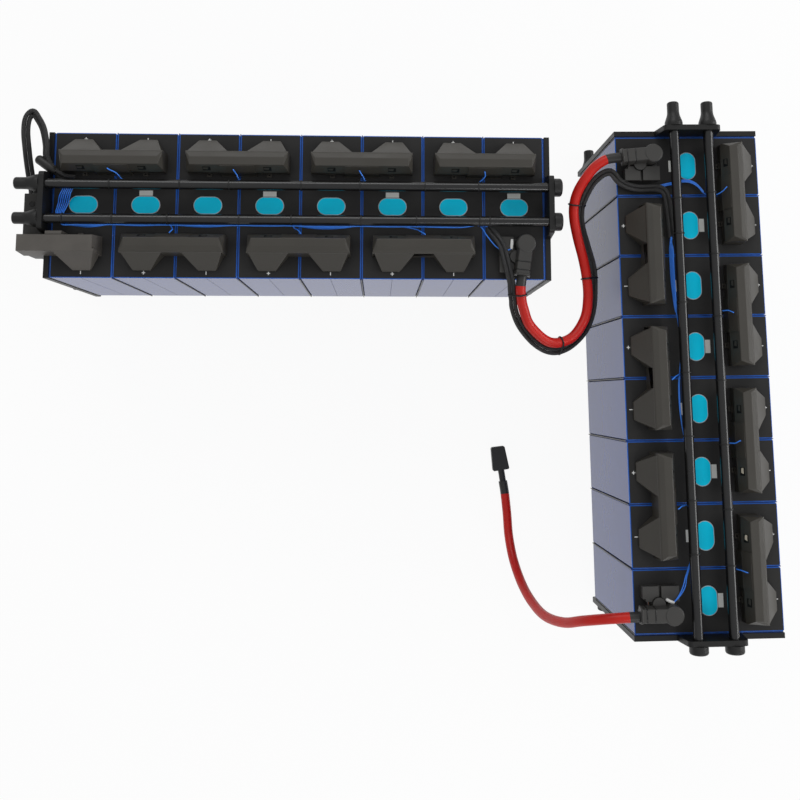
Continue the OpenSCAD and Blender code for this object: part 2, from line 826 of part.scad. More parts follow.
cell_a1();
cell_a2();
cell_a3();
cell_a4();
cell_a5();
cell_a6();
cell_a7();
cell_a8();
cell_b1();
cell_b2();
cell_b3();
cell_b4();
cell_b5();
cell_b6();
cell_b7();
cell_b8();
cover_a_back_1();
cover_a_back_2();
cover_a_back_3();
cover_a_back_4();
cover_a_front_1();
cover_a_front_2();
cover_a_front_3();
end_cover();
cover_b_inner_1();
cover_b_inner_2();
cover_b_inner_3();
cover_b_outer_1();
cover_b_outer_2();
cover_b_outer_3();
cover_b_outer_4();
plates_a();
plates_b();
boards_a();
boards_b();
top_sheets_a();
top_sheets_b();
vents_a();
vents_b();
rods_a();
rods_b();
sleeves_a();
sleeves_b();
nut_caps();
head_caps();
rod_nuts();
busbars_a();
busbars_b();
terminal_nuts();
boots();
boot_blocks();
cable_lugs();
control_box();
box_plug();
link_cable();
output_cable();
output_lug_cover();
harness_loom();
loop_cable();
rod_ties();
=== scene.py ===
# Lithium iron phosphate battery: two clamped packs of prismatic cells standing in an L.
import math

import bmesh
import bpy
from mathutils import Matrix, Vector


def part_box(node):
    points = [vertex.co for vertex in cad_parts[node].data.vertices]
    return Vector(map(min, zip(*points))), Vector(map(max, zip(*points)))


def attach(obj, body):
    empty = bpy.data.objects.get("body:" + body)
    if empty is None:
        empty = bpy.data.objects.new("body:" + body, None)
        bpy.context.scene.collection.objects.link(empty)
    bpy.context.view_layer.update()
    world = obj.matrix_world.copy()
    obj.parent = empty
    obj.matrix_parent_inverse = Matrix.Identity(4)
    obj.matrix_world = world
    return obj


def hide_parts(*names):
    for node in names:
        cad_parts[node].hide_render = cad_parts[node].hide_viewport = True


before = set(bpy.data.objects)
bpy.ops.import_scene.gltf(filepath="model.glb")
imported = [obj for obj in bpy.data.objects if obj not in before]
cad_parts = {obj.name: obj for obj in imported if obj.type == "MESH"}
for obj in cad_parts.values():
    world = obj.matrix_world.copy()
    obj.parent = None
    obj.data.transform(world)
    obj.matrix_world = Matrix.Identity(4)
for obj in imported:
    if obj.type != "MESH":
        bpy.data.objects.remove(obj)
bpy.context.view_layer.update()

# The two packs are the same build. Each has its own frame, +X along it from the nut end,
# +Y across it and Z = 0 on the floor, with the face of its first cell at X = 0.
SECOND_PACK = (0.758, 0.089)
SECOND_TURN = math.radians(0.85)
first_low, first_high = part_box("cell_a1")
pack_a = Matrix.Translation((first_low[0], (first_low[1] + first_high[1]) / 2, 0))
pack_b = pack_a @ Matrix.Translation((*SECOND_PACK, 0)) @ Matrix.Rotation(SECOND_TURN - math.pi / 2, 4, "Z")
CELL_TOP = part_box("top_sheets_a")[0][2]
PITCH = 0.073
CELL = 0.0717
BOARD = PITCH - CELL
STACK = 8 * PITCH - BOARD


def cell_middle(n):
    """How far along its pack the middle of cell n lies, counted from 1."""
    return (n - 1) * PITCH + CELL / 2


# Camera high over the inner corner of the L, tipped a little toward the first pack.
# The photograph is an off-centre crop, which the small shift repeats.
camera_data = bpy.data.cameras.new("camera")
camera_data.sensor_width = 36
camera_data.lens = 43.89
camera_data.shift_x = -0.0198
camera_data.shift_y = -0.1589
camera = bpy.data.objects.new("camera", camera_data)
camera.location = pack_a @ Vector((0.38497, -0.22307, CELL_TOP + 1.14826))
camera.rotation_euler = [math.radians(turn) for turn in (7.137, -2.194, 0.027)]
bpy.context.collection.objects.link(camera)
bpy.context.scene.camera = camera
bpy.context.scene.view_settings.view_transform = "Standard"


def screen(red, green, blue):
    """The linear colour of a surface that shows as these 0 to 255 screen values."""
    return tuple(((c / 255 + 0.055) / 1.055) ** 2.4 if c > 10 else c / 3295 for c in (red, green, blue))


# Studio: a pale floor that is white in the picture and in gloss and keeps the shadow, a room that
# is a little brighter overhead than low down, and three lamps: a small one beyond the open side
# of the L, and a wide one each behind the first pack and to the right of the second.
def studio_floor():
    floor_mesh = bpy.data.meshes.new("floor")
    half = 4
    corners = [(-half, -half, 0), (half, -half, 0), (half, half, 0), (-half, half, 0)]
    floor_mesh.from_pydata(corners, [], [(0, 1, 2, 3)])
    floor = bpy.data.objects.new("floor", floor_mesh)
    floor.location.z = -0.0006
    bpy.context.collection.objects.link(floor)
    material = bpy.data.materials.new("floor")
    material.use_nodes = True
    nodes, links = material.node_tree.nodes, material.node_tree.links
    nodes.clear()
    paint = nodes.new("ShaderNodeBsdfDiffuse")
    paint.inputs["Color"].default_value = (0.90, 0.90, 0.90, 1)
    glow = nodes.new("ShaderNodeEmission")
    glow.inputs["Color"].default_value = (1, 1, 1, 1)
    glow.inputs["Strength"].default_value = 1.0
    rays = nodes.new("ShaderNodeLightPath")
    seen = nodes.new("ShaderNodeMath")
    seen.operation = "MAXIMUM"
    links.new(rays.outputs["Is Camera Ray"], seen.inputs[0])
    links.new(rays.outputs["Is Glossy Ray"], seen.inputs[1])
    either = nodes.new("ShaderNodeMath")
    either.operation = "MAXIMUM"
    links.new(seen.outputs[0], either.inputs[0])
    links.new(rays.outputs["Is Transmission Ray"], either.inputs[1])
    share = nodes.new("ShaderNodeMath")
    share.operation = "MULTIPLY"
    share.inputs[1].default_value = 0.93
    links.new(either.outputs[0], share.inputs[0])
    mix = nodes.new("ShaderNodeMixShader")
    links.new(share.outputs[0], mix.inputs["Fac"])
    links.new(paint.outputs["BSDF"], mix.inputs[1])
    links.new(glow.outputs["Emission"], mix.inputs[2])
    output = nodes.new("ShaderNodeOutputMaterial")
    links.new(mix.outputs["Shader"], output.inputs["Surface"])
    floor_mesh.materials.append(material)


def studio_world():
    world = bpy.data.worlds.new("studio")
    bpy.context.scene.world = world
    world.use_nodes = True
    nodes, links = world.node_tree.nodes, world.node_tree.links
    nodes.clear()
    place = nodes.new("ShaderNodeTexCoord")
    split = nodes.new("ShaderNodeSeparateXYZ")
    links.new(place.outputs["Generated"], split.inputs["Vector"])
    height = nodes.new("ShaderNodeMapRange")
    height.inputs["From Min"].default_value = 0.0
    height.inputs["From Max"].default_value = 0.85
    height.inputs["To Min"].default_value = 0.36
    height.inputs["To Max"].default_value = 0.56
    links.new(split.outputs["Z"], height.inputs["Value"])
    fill = nodes.new("ShaderNodeBackground")
    fill.inputs["Color"].default_value = (0.97, 0.98, 1.0, 1)
    links.new(height.outputs["Result"], fill.inputs["Strength"])
    white = nodes.new("ShaderNodeBackground")
    white.inputs["Color"].default_value = (1, 1, 1, 1)
    white.inputs["Strength"].default_value = 1.0
    rays = nodes.new("ShaderNodeLightPath")
    seen = nodes.new("ShaderNodeMath")
    seen.operation = "MAXIMUM"
    links.new(rays.outputs["Is Camera Ray"], seen.inputs[0])
    links.new(rays.outputs["Is Transmission Ray"], seen.inputs[1])
    mix = nodes.new("ShaderNodeMixShader")
    links.new(seen.outputs[0], mix.inputs["Fac"])
    links.new(fill.outputs["Background"], mix.inputs[1])
    links.new(white.outputs["Background"], mix.inputs[2])
    output = nodes.new("ShaderNodeOutputWorld")
    links.new(mix.outputs["Shader"], output.inputs["Surface"])


def lamp(name, place, target, width, height, watts):
    data = bpy.data.lights.new(name, "AREA")
    data.shape = "RECTANGLE"
    data.size = width
    data.size_y = height
    data.energy = watts
    light = bpy.data.objects.new(name, data)
    light.location = place
    light.rotation_euler = (Vector(target) - Vector(place)).to_track_quat("-Z", "Y").to_euler()
    bpy.context.collection.objects.link(light)


studio_floor()
studio_world()
lamp("window", (0.9, -2.2, 1.9), (0.1, 0, 0.1), 1.0, 0.50, 11)
lamp("back wall", (-0.4, 2.4, 2.1), (0, 0, 0.1), 2.2, 1.0, 20)
lamp("right wall", (2.6, 0.1, 1.3), (0.2, 0, 0.1), 2.0, 0.9, 26)


# Surfaces. Every finish on the packs is a Principled surface whose colour, roughness and
# relief come from two shared groups: fine moulded grain, and dust that lies on upward faces.
def group_socket(group, name, kind, way, value=None):
    socket = group.interface.new_socket(name, in_out=way, socket_type=kind)
    if value is not None:
        socket.default_value = value


def grain_group():
    group = bpy.data.node_groups.new("moulded grain", "ShaderNodeTree")
    group_socket(group, "Colour", "NodeSocketColor", "INPUT", (0.1, 0.1, 0.1, 1))
    group_socket(group, "Spread", "NodeSocketFloat", "INPUT", 0.15)
    group_socket(group, "Roughness", "NodeSocketFloat", "INPUT", 0.5)
    group_socket(group, "Grain per metre", "NodeSocketFloat", "INPUT", 2500.0)
    group_socket(group, "Colour", "NodeSocketColor", "OUTPUT")
    group_socket(group, "Roughness", "NodeSocketFloat", "OUTPUT")
    group_socket(group, "Height", "NodeSocketFloat", "OUTPUT")
    nodes, links = group.nodes, group.links
    given = nodes.new("NodeGroupInput")
    made = nodes.new("NodeGroupOutput")
    place = nodes.new("ShaderNodeTexCoord")
    cloud = nodes.new("ShaderNodeTexNoise")
    cloud.inputs["Scale"].default_value = 38
    cloud.inputs["Detail"].default_value = 5
    links.new(place.outputs["Object"], cloud.inputs["Vector"])
    fine = nodes.new("ShaderNodeTexNoise")
    fine.inputs["Detail"].default_value = 2
    links.new(place.outputs["Object"], fine.inputs["Vector"])
    links.new(given.outputs["Grain per metre"], fine.inputs["Scale"])
    both = nodes.new("ShaderNodeMath")
    both.operation = "MULTIPLY_ADD"
    both.inputs[1].default_value = 0.35
    links.new(fine.outputs["Fac"], both.inputs[0])
    links.new(cloud.outputs["Fac"], both.inputs[2])
    around = nodes.new("ShaderNodeMath")
    around.operation = "SUBTRACT"
    around.inputs[1].default_value = 0.675
    links.new(both.outputs[0], around.inputs[0])
    swing = nodes.new("ShaderNodeMath")
    swing.operation = "MULTIPLY_ADD"
    swing.inputs[2].default_value = 1.0
    links.new(around.outputs[0], swing.inputs[0])
    twice = nodes.new("ShaderNodeMath")
    twice.operation = "MULTIPLY"
    twice.inputs[1].default_value = 2.0
    links.new(given.outputs["Spread"], twice.inputs[0])
    links.new(twice.outputs[0], swing.inputs[1])
    tint = nodes.new("ShaderNodeVectorMath")
    tint.operation = "SCALE"
    links.new(given.outputs["Colour"], tint.inputs[0])
    links.new(swing.outputs[0], tint.inputs["Scale"])
    links.new(tint.outputs["Vector"], made.inputs["Colour"])
    rough = nodes.new("ShaderNodeMath")
    rough.operation = "MULTIPLY_ADD"
    rough.inputs[1].default_value = 0.25
    rough.use_clamp = True
    links.new(around.outputs[0], rough.inputs[0])
    links.new(given.outputs["Roughness"], rough.inputs[2])
    links.new(rough.outputs[0], made.inputs["Roughness"])
    links.new(fine.outputs["Fac"], made.inputs["Height"])
    return group


def dust_group():
    group = bpy.data.node_groups.new("settled dust", "ShaderNodeTree")
    group_socket(group, "Colour", "NodeSocketColor", "INPUT", (0.1, 0.1, 0.1, 1))
    group_socket(group, "Roughness", "NodeSocketFloat", "INPUT", 0.5)
    group_socket(group, "Dust", "NodeSocketColor", "INPUT", (0.3, 0.28, 0.25, 1))
    group_socket(group, "Amount", "NodeSocketFloat", "INPUT", 0.1)
    group_socket(group, "Colour", "NodeSocketColor", "OUTPUT")
    group_socket(group, "Roughness", "NodeSocketFloat", "OUTPUT")
    nodes, links = group.nodes, group.links
    given = nodes.new("NodeGroupInput")
    made = nodes.new("NodeGroupOutput")
    place = nodes.new("ShaderNodeTexCoord")
    patches = nodes.new("ShaderNodeTexNoise")
    patches.inputs["Scale"].default_value = 26
    patches.inputs["Detail"].default_value = 8
    patches.inputs["Roughness"].default_value = 0.65
    links.new(place.outputs["Object"], patches.inputs["Vector"])
    shape = nodes.new("ShaderNodeNewGeometry")
    upward = nodes.new("ShaderNodeSeparateXYZ")
    links.new(shape.outputs["Normal"], upward.inputs["Vector"])
    lies = nodes.new("ShaderNodeMath")
    lies.operation = "MULTIPLY"
    lies.use_clamp = True
    links.new(upward.outputs["Z"], lies.inputs[0])
    links.new(patches.outputs["Fac"], lies.inputs[1])
    thick = nodes.new("ShaderNodeMath")
    thick.operation = "MULTIPLY"
    thick.use_clamp = True
    links.new(lies.outputs[0], thick.inputs[0])
    links.new(given.outputs["Amount"], thick.inputs[1])
    mix = nodes.new("ShaderNodeMix")
    mix.data_type = "RGBA"
    links.new(thick.outputs[0], mix.inputs["Factor"])
    links.new(given.outputs["Colour"], mix.inputs["A"])
    links.new(given.outputs["Dust"], mix.inputs["B"])
    links.new(mix.outputs["Result"], made.inputs["Colour"])
    dull = nodes.new("ShaderNodeMath")
    dull.operation = "ADD"
    dull.use_clamp = True
    links.new(given.outputs["Roughness"], dull.inputs[0])
    links.new(thick.outputs[0], dull.inputs[1])
    links.new(dull.outputs[0], made.inputs["Roughness"])
    return group


GRAIN = grain_group()
DUST = dust_group()


def moulded(name, colour, roughness, spread=0.15, grain=2500.0, relief=0.00004, dust=0.0, specular=0.5):
    """A plastic, rubber, board or metal finish with grain, and dust on its upward faces."""
    material = bpy.data.materials.new(name)
    material.use_nodes = True
    nodes, links = material.node_tree.nodes, material.node_tree.links
    skin = nodes["Principled BSDF"]
    skin.inputs["Specular IOR Level"].default_value = specular
    grains = nodes.new("ShaderNodeGroup")
    grains.node_tree = GRAIN
    grains.inputs["Colour"].default_value = (*colour, 1)
    grains.inputs["Spread"].default_value = spread
    grains.inputs["Roughness"].default_value = roughness
    grains.inputs["Grain per metre"].default_value = grain
    settled = nodes.new("ShaderNodeGroup")
    settled.node_tree = DUST
    settled.inputs["Amount"].default_value = dust
    links.new(grains.outputs["Colour"], settled.inputs["Colour"])
    links.new(grains.outputs["Roughness"], settled.inputs["Roughness"])
    links.new(settled.outputs["Colour"], skin.inputs["Base Color"])
    links.new(settled.outputs["Roughness"], skin.inputs["Roughness"])
    bump = nodes.new("ShaderNodeBump")
    bump.inputs["Strength"].default_value = 0.6
    bump.inputs["Distance"].default_value = relief
    links.new(grains.outputs["Height"], bump.inputs["Height"])
    links.new(bump.outputs["Normal"], skin.inputs["Normal"])
    return material


# Cables. The power link and the output cable are fine copper strand in red silicone, black heat
# shrink at their lugs; the harness is two braided sleeves side by side. Routes are the CAD's own.
def smooth_path(route, steps, pack=pack_a):
    """Points on the same curve through the route that the CAD's cords follow, from a pack's frame."""
    route = [Vector(point) for point in route]
    points = [2 * route[0] - route[1], *route, 2 * route[-1] - route[-2]]
    path = []
    for k in range(len(route) - 1):
        a, b, c, d = points[k : k + 4]
        for step in range(steps):
            t = step / steps
            bow = (2 * a - 5 * b + 4 * c - d) * t * t
            turn = (3 * b - a - 3 * c + d) * t**3
            path.append(0.5 * (2 * b + (c - a) * t + bow + turn))
    path.append(route[-1])
    lift = pack @ Matrix.Translation((0, 0, CELL_TOP))
    return [lift @ point for point in path]


def path_length(path):
    return sum((b - a).length for a, b in zip(path, path[1:]))


def tree_start(name, sockets):
    """A new Geometry Nodes tree with its named inputs, and its input and output nodes."""
    tree = bpy.data.node_groups.new(name, "GeometryNodeTree")
    tree.interface.new_socket("Geometry", in_out="INPUT", socket_type="NodeSocketGeometry")
    for label, kind in sockets:
        tree.interface.new_socket(label, in_out="INPUT", socket_type="NodeSocket" + kind)
    tree.interface.new_socket("Geometry", in_out="OUTPUT", socket_type="NodeSocketGeometry")
    return tree, tree.nodes.new("NodeGroupInput"), tree.nodes.new("NodeGroupOutput")


def grown(name, tree, source, values):
    """The plain mesh piece that a tree makes from the source object, which is then removed."""
    modifier = source.modifiers.new("tree", "NODES")
    modifier.node_group = tree
    for item in tree.interface.items_tree:
        if item.in_out == "INPUT" and item.name in values:
            modifier[item.identifier] = values[item.name]
    bpy.context.view_layer.update()
    seen = source.evaluated_get(bpy.context.evaluated_depsgraph_get())
    mesh = bpy.data.meshes.new_from_object(seen)
    mesh.name = name
    piece = bpy.data.objects.new(name, mesh)
    bpy.context.collection.objects.link(piece)
    bpy.data.objects.remove(source)
    return piece


def drawn_tube_tree():
    """Sweeps a round section along every path and notes how far along and around each point is."""
    sockets = [("Radius", "Float"), ("Sides", "Int"), ("Finish", "Material")]
    tree, given, made = tree_start("drawn tube", sockets)
    nodes, links = tree.nodes, tree.links
    along = nodes.new("GeometryNodeSplineParameter")
    keep_along = nodes.new("GeometryNodeStoreNamedAttribute")
    keep_along.data_type = "FLOAT"
    keep_along.domain = "POINT"
    keep_along.inputs["Name"].default_value = "along"
    links.new(given.outputs["Geometry"], keep_along.inputs["Geometry"])
    links.new(along.outputs["Length"], keep_along.inputs["Value"])
    section = nodes.new("GeometryNodeCurvePrimitiveCircle")
    links.new(given.outputs["Sides"], section.inputs["Resolution"])
    links.new(given.outputs["Radius"], section.inputs["Radius"])
    place = nodes.new("GeometryNodeInputPosition")
    aim = nodes.new("ShaderNodeVectorMath")
    aim.operation = "NORMALIZE"
    links.new(place.outputs["Position"], aim.inputs[0])
    keep_around = nodes.new("GeometryNodeStoreNamedAttribute")
    keep_around.data_type = "FLOAT_VECTOR"
    keep_around.domain = "POINT"
    keep_around.inputs["Name"].default_value = "around"
    links.new(section.outputs["Curve"], keep_around.inputs["Geometry"])
    links.new(aim.outputs["Vector"], keep_around.inputs["Value"])
    sweep = nodes.new("GeometryNodeCurveToMesh")
    sweep.inputs["Fill Caps"].default_value = True
    size = nodes.new("GeometryNodeInputRadius")
    links.new(size.outputs["Radius"], sweep.inputs["Scale"])
    links.new(keep_along.outputs["Geometry"], sweep.inputs["Curve"])
    links.new(keep_around.outputs["Geometry"], sweep.inputs["Profile Curve"])
    smooth = nodes.new("GeometryNodeSetShadeSmooth")
    links.new(sweep.outputs["Mesh"], smooth.inputs["Geometry"])
    solid = nodes.new("GeometryNodeRealizeInstances")
    links.new(smooth.outputs["Geometry"], solid.inputs["Geometry"])
    finish = nodes.new("GeometryNodeSetMaterial")
    links.new(solid.outputs["Geometry"], finish.inputs["Geometry"])
    links.new(given.outputs["Finish"], finish.inputs["Material"])
    links.new(finish.outputs["Geometry"], made.inputs["Geometry"])
    return tree


DRAWN_TUBE = drawn_tube_tree()


def tubes(name, paths, radius, sides, material, swell=None):
    """One mesh piece of round tubes along the given paths; swell gives each point its own share."""
    data = bpy.data.curves.new(name + " paths", "CURVE")
    data.dimensions = "3D"
    for path in paths:
        spline = data.splines.new("POLY")
        spline.points.add(len(path) - 1)
        for k, place in enumerate(path):
            spline.points[k].co = (*place, 1)
            spline.points[k].radius = swell[k] if swell else 1.0
    source = bpy.data.objects.new(name + " paths", data)
    bpy.context.collection.objects.link(source)
    return grown(name, DRAWN_TUBE, source, {"Radius": radius, "Sides": sides, "Finish": material})


def sleeve_material(name, red, length, black):
    """Red silicone with black heat shrink on its ends; black gives how long each of the two is."""
    material = moulded(name, red, 0.40, spread=0.25, grain=900.0, relief=0.00003, specular=0.38)
    nodes, links = material.node_tree.nodes, material.node_tree.links
    skin = nodes["Principled BSDF"]
    far = nodes.new("ShaderNodeAttribute")
    far.attribute_name = "along"
    start = nodes.new("ShaderNodeMath")
    start.operation = "LESS_THAN"
    start.inputs[1].default_value = black[0]
    end = nodes.new("ShaderNodeMath")
    end.operation = "GREATER_THAN"
    end.inputs[1].default_value = length - black[1]
    either = nodes.new("ShaderNodeMath")
    either.operation = "MAXIMUM"
    links.new(far.outputs["Fac"], start.inputs[0])
    links.new(far.outputs["Fac"], end.inputs[0])
    links.new(start.outputs[0], either.inputs[0])
    links.new(end.outputs[0], either.inputs[1])
    mix = nodes.new("ShaderNodeMix")
    mix.data_type = "RGBA"
    mix.inputs["B"].default_value = (0.030, 0.029, 0.028, 1)
    links.new(either.outputs[0], mix.inputs["Factor"])
    links.new(skin.inputs["Base Color"].links[0].from_socket, mix.inputs["A"])
    links.new(mix.outputs["Result"], skin.inputs["Base Color"])
    return material


def braid_material():
    """Crossed black threads: two sets of raised spirals along the sleeve, coloured lighter on their crests as
    a painted highlight and near black between them as painted shade.
    """
    material = bpy.data.materials.new("braided sleeve")
    material.use_nodes = True
    nodes, links = material.node_tree.nodes, material.node_tree.links
    skin = nodes["Principled BSDF"]
    skin.inputs["Roughness"].default_value = 0.55
    skin.inputs["Specular IOR Level"].default_value = 0.45
    far = nodes.new("ShaderNodeAttribute")
    far.attribute_name = "along"
    ring = nodes.new("ShaderNodeAttribute")
    ring.attribute_name = "around"
    split = nodes.new("ShaderNodeSeparateXYZ")
    links.new(ring.outputs["Vector"], split.inputs["Vector"])
    angle = nodes.new("ShaderNodeMath")
    angle.operation = "ARCTAN2"
    links.new(split.outputs["Y"], angle.inputs[0])
    links.new(split.outputs["X"], angle.inputs[1])
    threads_round = 8
    turn_per_metre = 3300
    spirals = []
    for way in (1, -1):
        run = nodes.new("ShaderNodeMath")
        run.operation = "MULTIPLY"
        run.inputs[1].default_value = turn_per_metre
        links.new(far.outputs["Fac"], run.inputs[0])
        turn = nodes.new("ShaderNodeMath")
        turn.operation = "MULTIPLY_ADD"
        turn.inputs[1].default_value = threads_round * way
        links.new(angle.outputs[0], turn.inputs[0])
        links.new(run.outputs[0], turn.inputs[2])
        wave = nodes.new("ShaderNodeMath")
        wave.operation = "SINE"
        links.new(turn.outputs[0], wave.inputs[0])
        spirals.append(wave)
    threads = nodes.new("ShaderNodeMath")
    threads.operation = "MAXIMUM"
    links.new(spirals[0].outputs[0], threads.inputs[0])
    links.new(spirals[1].outputs[0], threads.inputs[1])
    # Painted highlight and shade: the colour runs from near black in the gaps between threads to a lighter
    # grey on their crests.
    crest_highlight_gap_shade = nodes.new("ShaderNodeValToRGB")
    crest_highlight_gap_shade.color_ramp.elements[0].position = 0.0
    crest_highlight_gap_shade.color_ramp.elements[0].color = (0.003, 0.003, 0.003, 1)
    crest_highlight_gap_shade.color_ramp.elements[1].position = 1.0
    crest_highlight_gap_shade.color_ramp.elements[1].color = (0.055, 0.054, 0.054, 1)
    links.new(threads.outputs[0], crest_highlight_gap_shade.inputs["Fac"])
    links.new(crest_highlight_gap_shade.outputs["Color"], skin.inputs["Base Color"])
    bump = nodes.new("ShaderNodeBump")
    bump.inputs["Strength"].default_value = 0.7
    bump.inputs["Distance"].default_value = 0.0004
    links.new(threads.outputs[0], bump.inputs["Height"])
    links.new(bump.outputs["Normal"], skin.inputs["Normal"])
    return material


def side_by_side(path, apart, lean):
    """Two paths beside this one; lean is how far the pair is rolled over, in degrees, along it."""
    pair = ([], [])
    for k, point in enumerate(path):
        heading = (path[min(k + 1, len(path) - 1)] - path[max(k - 1, 0)]).normalized()
        level = heading.cross(Vector((0, 0, 1))).normalized()
        roll = Matrix.Rotation(math.radians(lean(k / (len(path) - 1))), 3, heading)
        offset = roll @ level * (apart / 2)
        pair[0].append(point + offset)
        pair[1].append(point - offset)
    return pair


RED = screen(200, 27, 15)
LINK_BLACK = (0.013, 0.0185)
OUTPUT_BLACK = (0.012, 0.017)
BRAID = braid_material()
LINK_ROUTE = [
    (0.5533, -0.0836, 0.016), (0.5514, -0.0975, 0.016), (0.5525, -0.11, 0.013),
    (0.5555, -0.122, 0.009), (0.5645, -0.142, 0.002), (0.589, -0.1605, -0.008),
    (0.616, -0.155, -0.016), (0.634, -0.132, -0.022), (0.6395, -0.106, -0.025),
    (0.6385, -0.082, -0.025), (0.634, -0.0585, -0.022), (0.6265, -0.033, -0.016),
    (0.621, -0.011, -0.008), (0.6205, 0.007, -0.002), (0.626, 0.0245, 0.005), (0.64, 0.045, 0.012),
    (0.652, 0.0545, 0.0155), (0.6607, 0.0579, 0.016), (0.6746, 0.0596, 0.016),
]
OUTPUT_ROUTE = [
    (0.6823, -0.4718, 0.016), (0.6683, -0.4726, 0.016), (0.645, -0.4755, 0.009),
    (0.623, -0.482, -0.012), (0.6065, -0.491, -0.045), (0.592, -0.493, -0.088),
    (0.5825, -0.485, -0.13), (0.5745, -0.4685, -0.165), (0.5675, -0.4425, -0.192),
    (0.5638, -0.4135, -0.209), (0.5625, -0.385, -0.2155), (0.5598, -0.357, -0.2163),
    (0.5573, -0.3405, -0.2163),
]
HARNESS_ROUTE = [
    (0.5145, -0.026, 0.014), (0.53, -0.0495, 0.018), (0.5355, -0.0785, 0.018), (0.541, -0.103, 0.01),
    (0.5425, -0.121, 0.003), (0.552, -0.143, -0.004), (0.5715, -0.1635, -0.013),
    (0.593, -0.1725, -0.02), (0.6155, -0.166, -0.027), (0.637, -0.146, -0.033),
    (0.648, -0.1205, -0.036), (0.651, -0.092, -0.037), (0.65, -0.0675, -0.035),
    (0.641, -0.039, -0.027), (0.633, -0.016, -0.018), (0.6315, 0.001, -0.01), (0.638, 0.0195, -0.003),
    (0.6475, 0.034, 0.002), (0.662, 0.042, 0.006), (0.675, 0.031, 0.007), (0.695, 0.024, 0.007),
    (0.7215, 0.024, 0.007), (0.7305, 0.0145, 0.007), (0.733, -0.009, 0.008), (0.735, -0.037, 0.008),
]
LOOP_ROUTE = [
    (-0.028, 0.013, -0.014), (-0.03, 0.026, -0.015), (-0.032, 0.037, -0.012), (-0.0323, 0.05, -0.005),
    (-0.0326, 0.064, 0.001), (-0.0326, 0.085, 0.009), (-0.0295, 0.1, 0.014), (-0.0225, 0.1065, 0.016),
    (-0.017, 0.1, 0.015), (-0.011, 0.088, 0.013), (-0.0075, 0.07, 0.011), (-0.007, 0.057, 0.01),
    (-0.003, 0.047, 0.01), (0.0055, 0.0368, 0.009), (0.015, 0.0314, 0.009), (0.028, 0.0292, 0.009),
]
LINK_DIAMETER = 0.0119
OUTPUT_DIAMETER = 0.0119
STRAND_DIAMETER = 0.0048

link_path = smooth_path(LINK_ROUTE, 10)
link = tubes("link_cable_red", [link_path], LINK_DIAMETER / 2, 28,
             sleeve_material("red link sleeve", RED, path_length(link_path), LINK_BLACK))
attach(link, "root")
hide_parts("link_cable")

output_path = smooth_path(OUTPUT_ROUTE, 10)
output = tubes("output_cable_red", [output_path], OUTPUT_DIAMETER / 2, 28,
               sleeve_material("red output sleeve", RED, path_length(output_path), OUTPUT_BLACK))
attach(output, "root")
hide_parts("output_cable")

# The two strands are drawn a little toward the link wherever they run close beside it.
PULL = 0.0022
CLOSE = 0.012
FADE = 0.010
harness_path = smooth_path(HARNESS_ROUTE, 8)
hugging_path = []
for point in harness_path:
    toward = min(link_path, key=lambda place: (place - point).length) - point
    slack = toward.length - LINK_DIAMETER / 2 - STRAND_DIAMETER
    drawn = min(slack, PULL) if slack < CLOSE else PULL * max(0, 1 - (slack - CLOSE) / FADE)
    hugging_path.append(point + toward.normalized() * drawn)
harness = tubes("harness_strands", side_by_side(hugging_path, STRAND_DIAMETER, lambda share: 10),
                STRAND_DIAMETER / 2, 14, BRAID)
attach(harness, "root")
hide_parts("harness_loom")

LOOP_STRAND = 0.0052
loop_path = smooth_path(LOOP_ROUTE, 8)
loop = tubes("loop_strands", side_by_side(loop_path, LOOP_STRAND, lambda share: 15 + 40 * share),
             LOOP_STRAND / 2, 14, BRAID)
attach(loop, "root")
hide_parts("loop_cable")


# Shells and solid pieces come from the CAD's own nodes, with a rounded edge such as a mould leaves.
def softened(name, node, edge, material, segments=2, angle=32, shortest=0.0, above=0.0,
             reshape=None):
    """A copy of a CAD node, made whole, with its hard edges rounded; it stands for the node.

    With a shortest length, only longer edges over the height above are rounded, and the faces
    stay flat. reshape moves each corner first.
    """
    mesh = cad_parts[node].data.copy()
    mesh.name = name
    shape = bmesh.new()
    shape.from_mesh(mesh)
    if reshape:
        for corner in shape.verts:
            corner.co = reshape(corner.co)
    bmesh.ops.remove_doubles(shape, verts=shape.verts, dist=0.00001)
    bmesh.ops.dissolve_limit(shape, angle_limit=math.radians(2), verts=shape.verts, edges=shape.edges)
    weight = shape.edges.layers.float.new("bevel_weight_edge")
    for line in shape.edges:
        if len(line.link_faces) == 2 and line.calc_face_angle() > math.radians(angle):
            chosen = line.calc_length() > shortest and min(end.co.z for end in line.verts) >= above
            line[weight] = float(chosen)
            line.smooth = chosen
    shape.to_mesh(mesh)
    shape.free()
    mesh.materials.clear()
    mesh.materials.append(material)
    for face in mesh.polygons:
        face.use_smooth = shortest == 0
        face.material_index = 0
    piece = bpy.data.objects.new(name, mesh)
    bpy.context.collection.objects.link(piece)
    rounded = piece.modifiers.new("edges", "BEVEL")
    rounded.width = edge
    rounded.segments = segments
    rounded.limit_method = "WEIGHT"
    rounded.use_clamp_overlap = shortest == 0
    evened = piece.modifiers.new("even shading", "WEIGHTED_NORMAL")
    evened.keep_sharp = True
    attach(piece, "root")
    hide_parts(node)
    return piece


lug_cover = softened("output_lug_sleeve", "output_lug_cover", 0.0012,
                     moulded("heat shrink", (0.012, 0.012, 0.013), 0.45, grain=1200), 3)
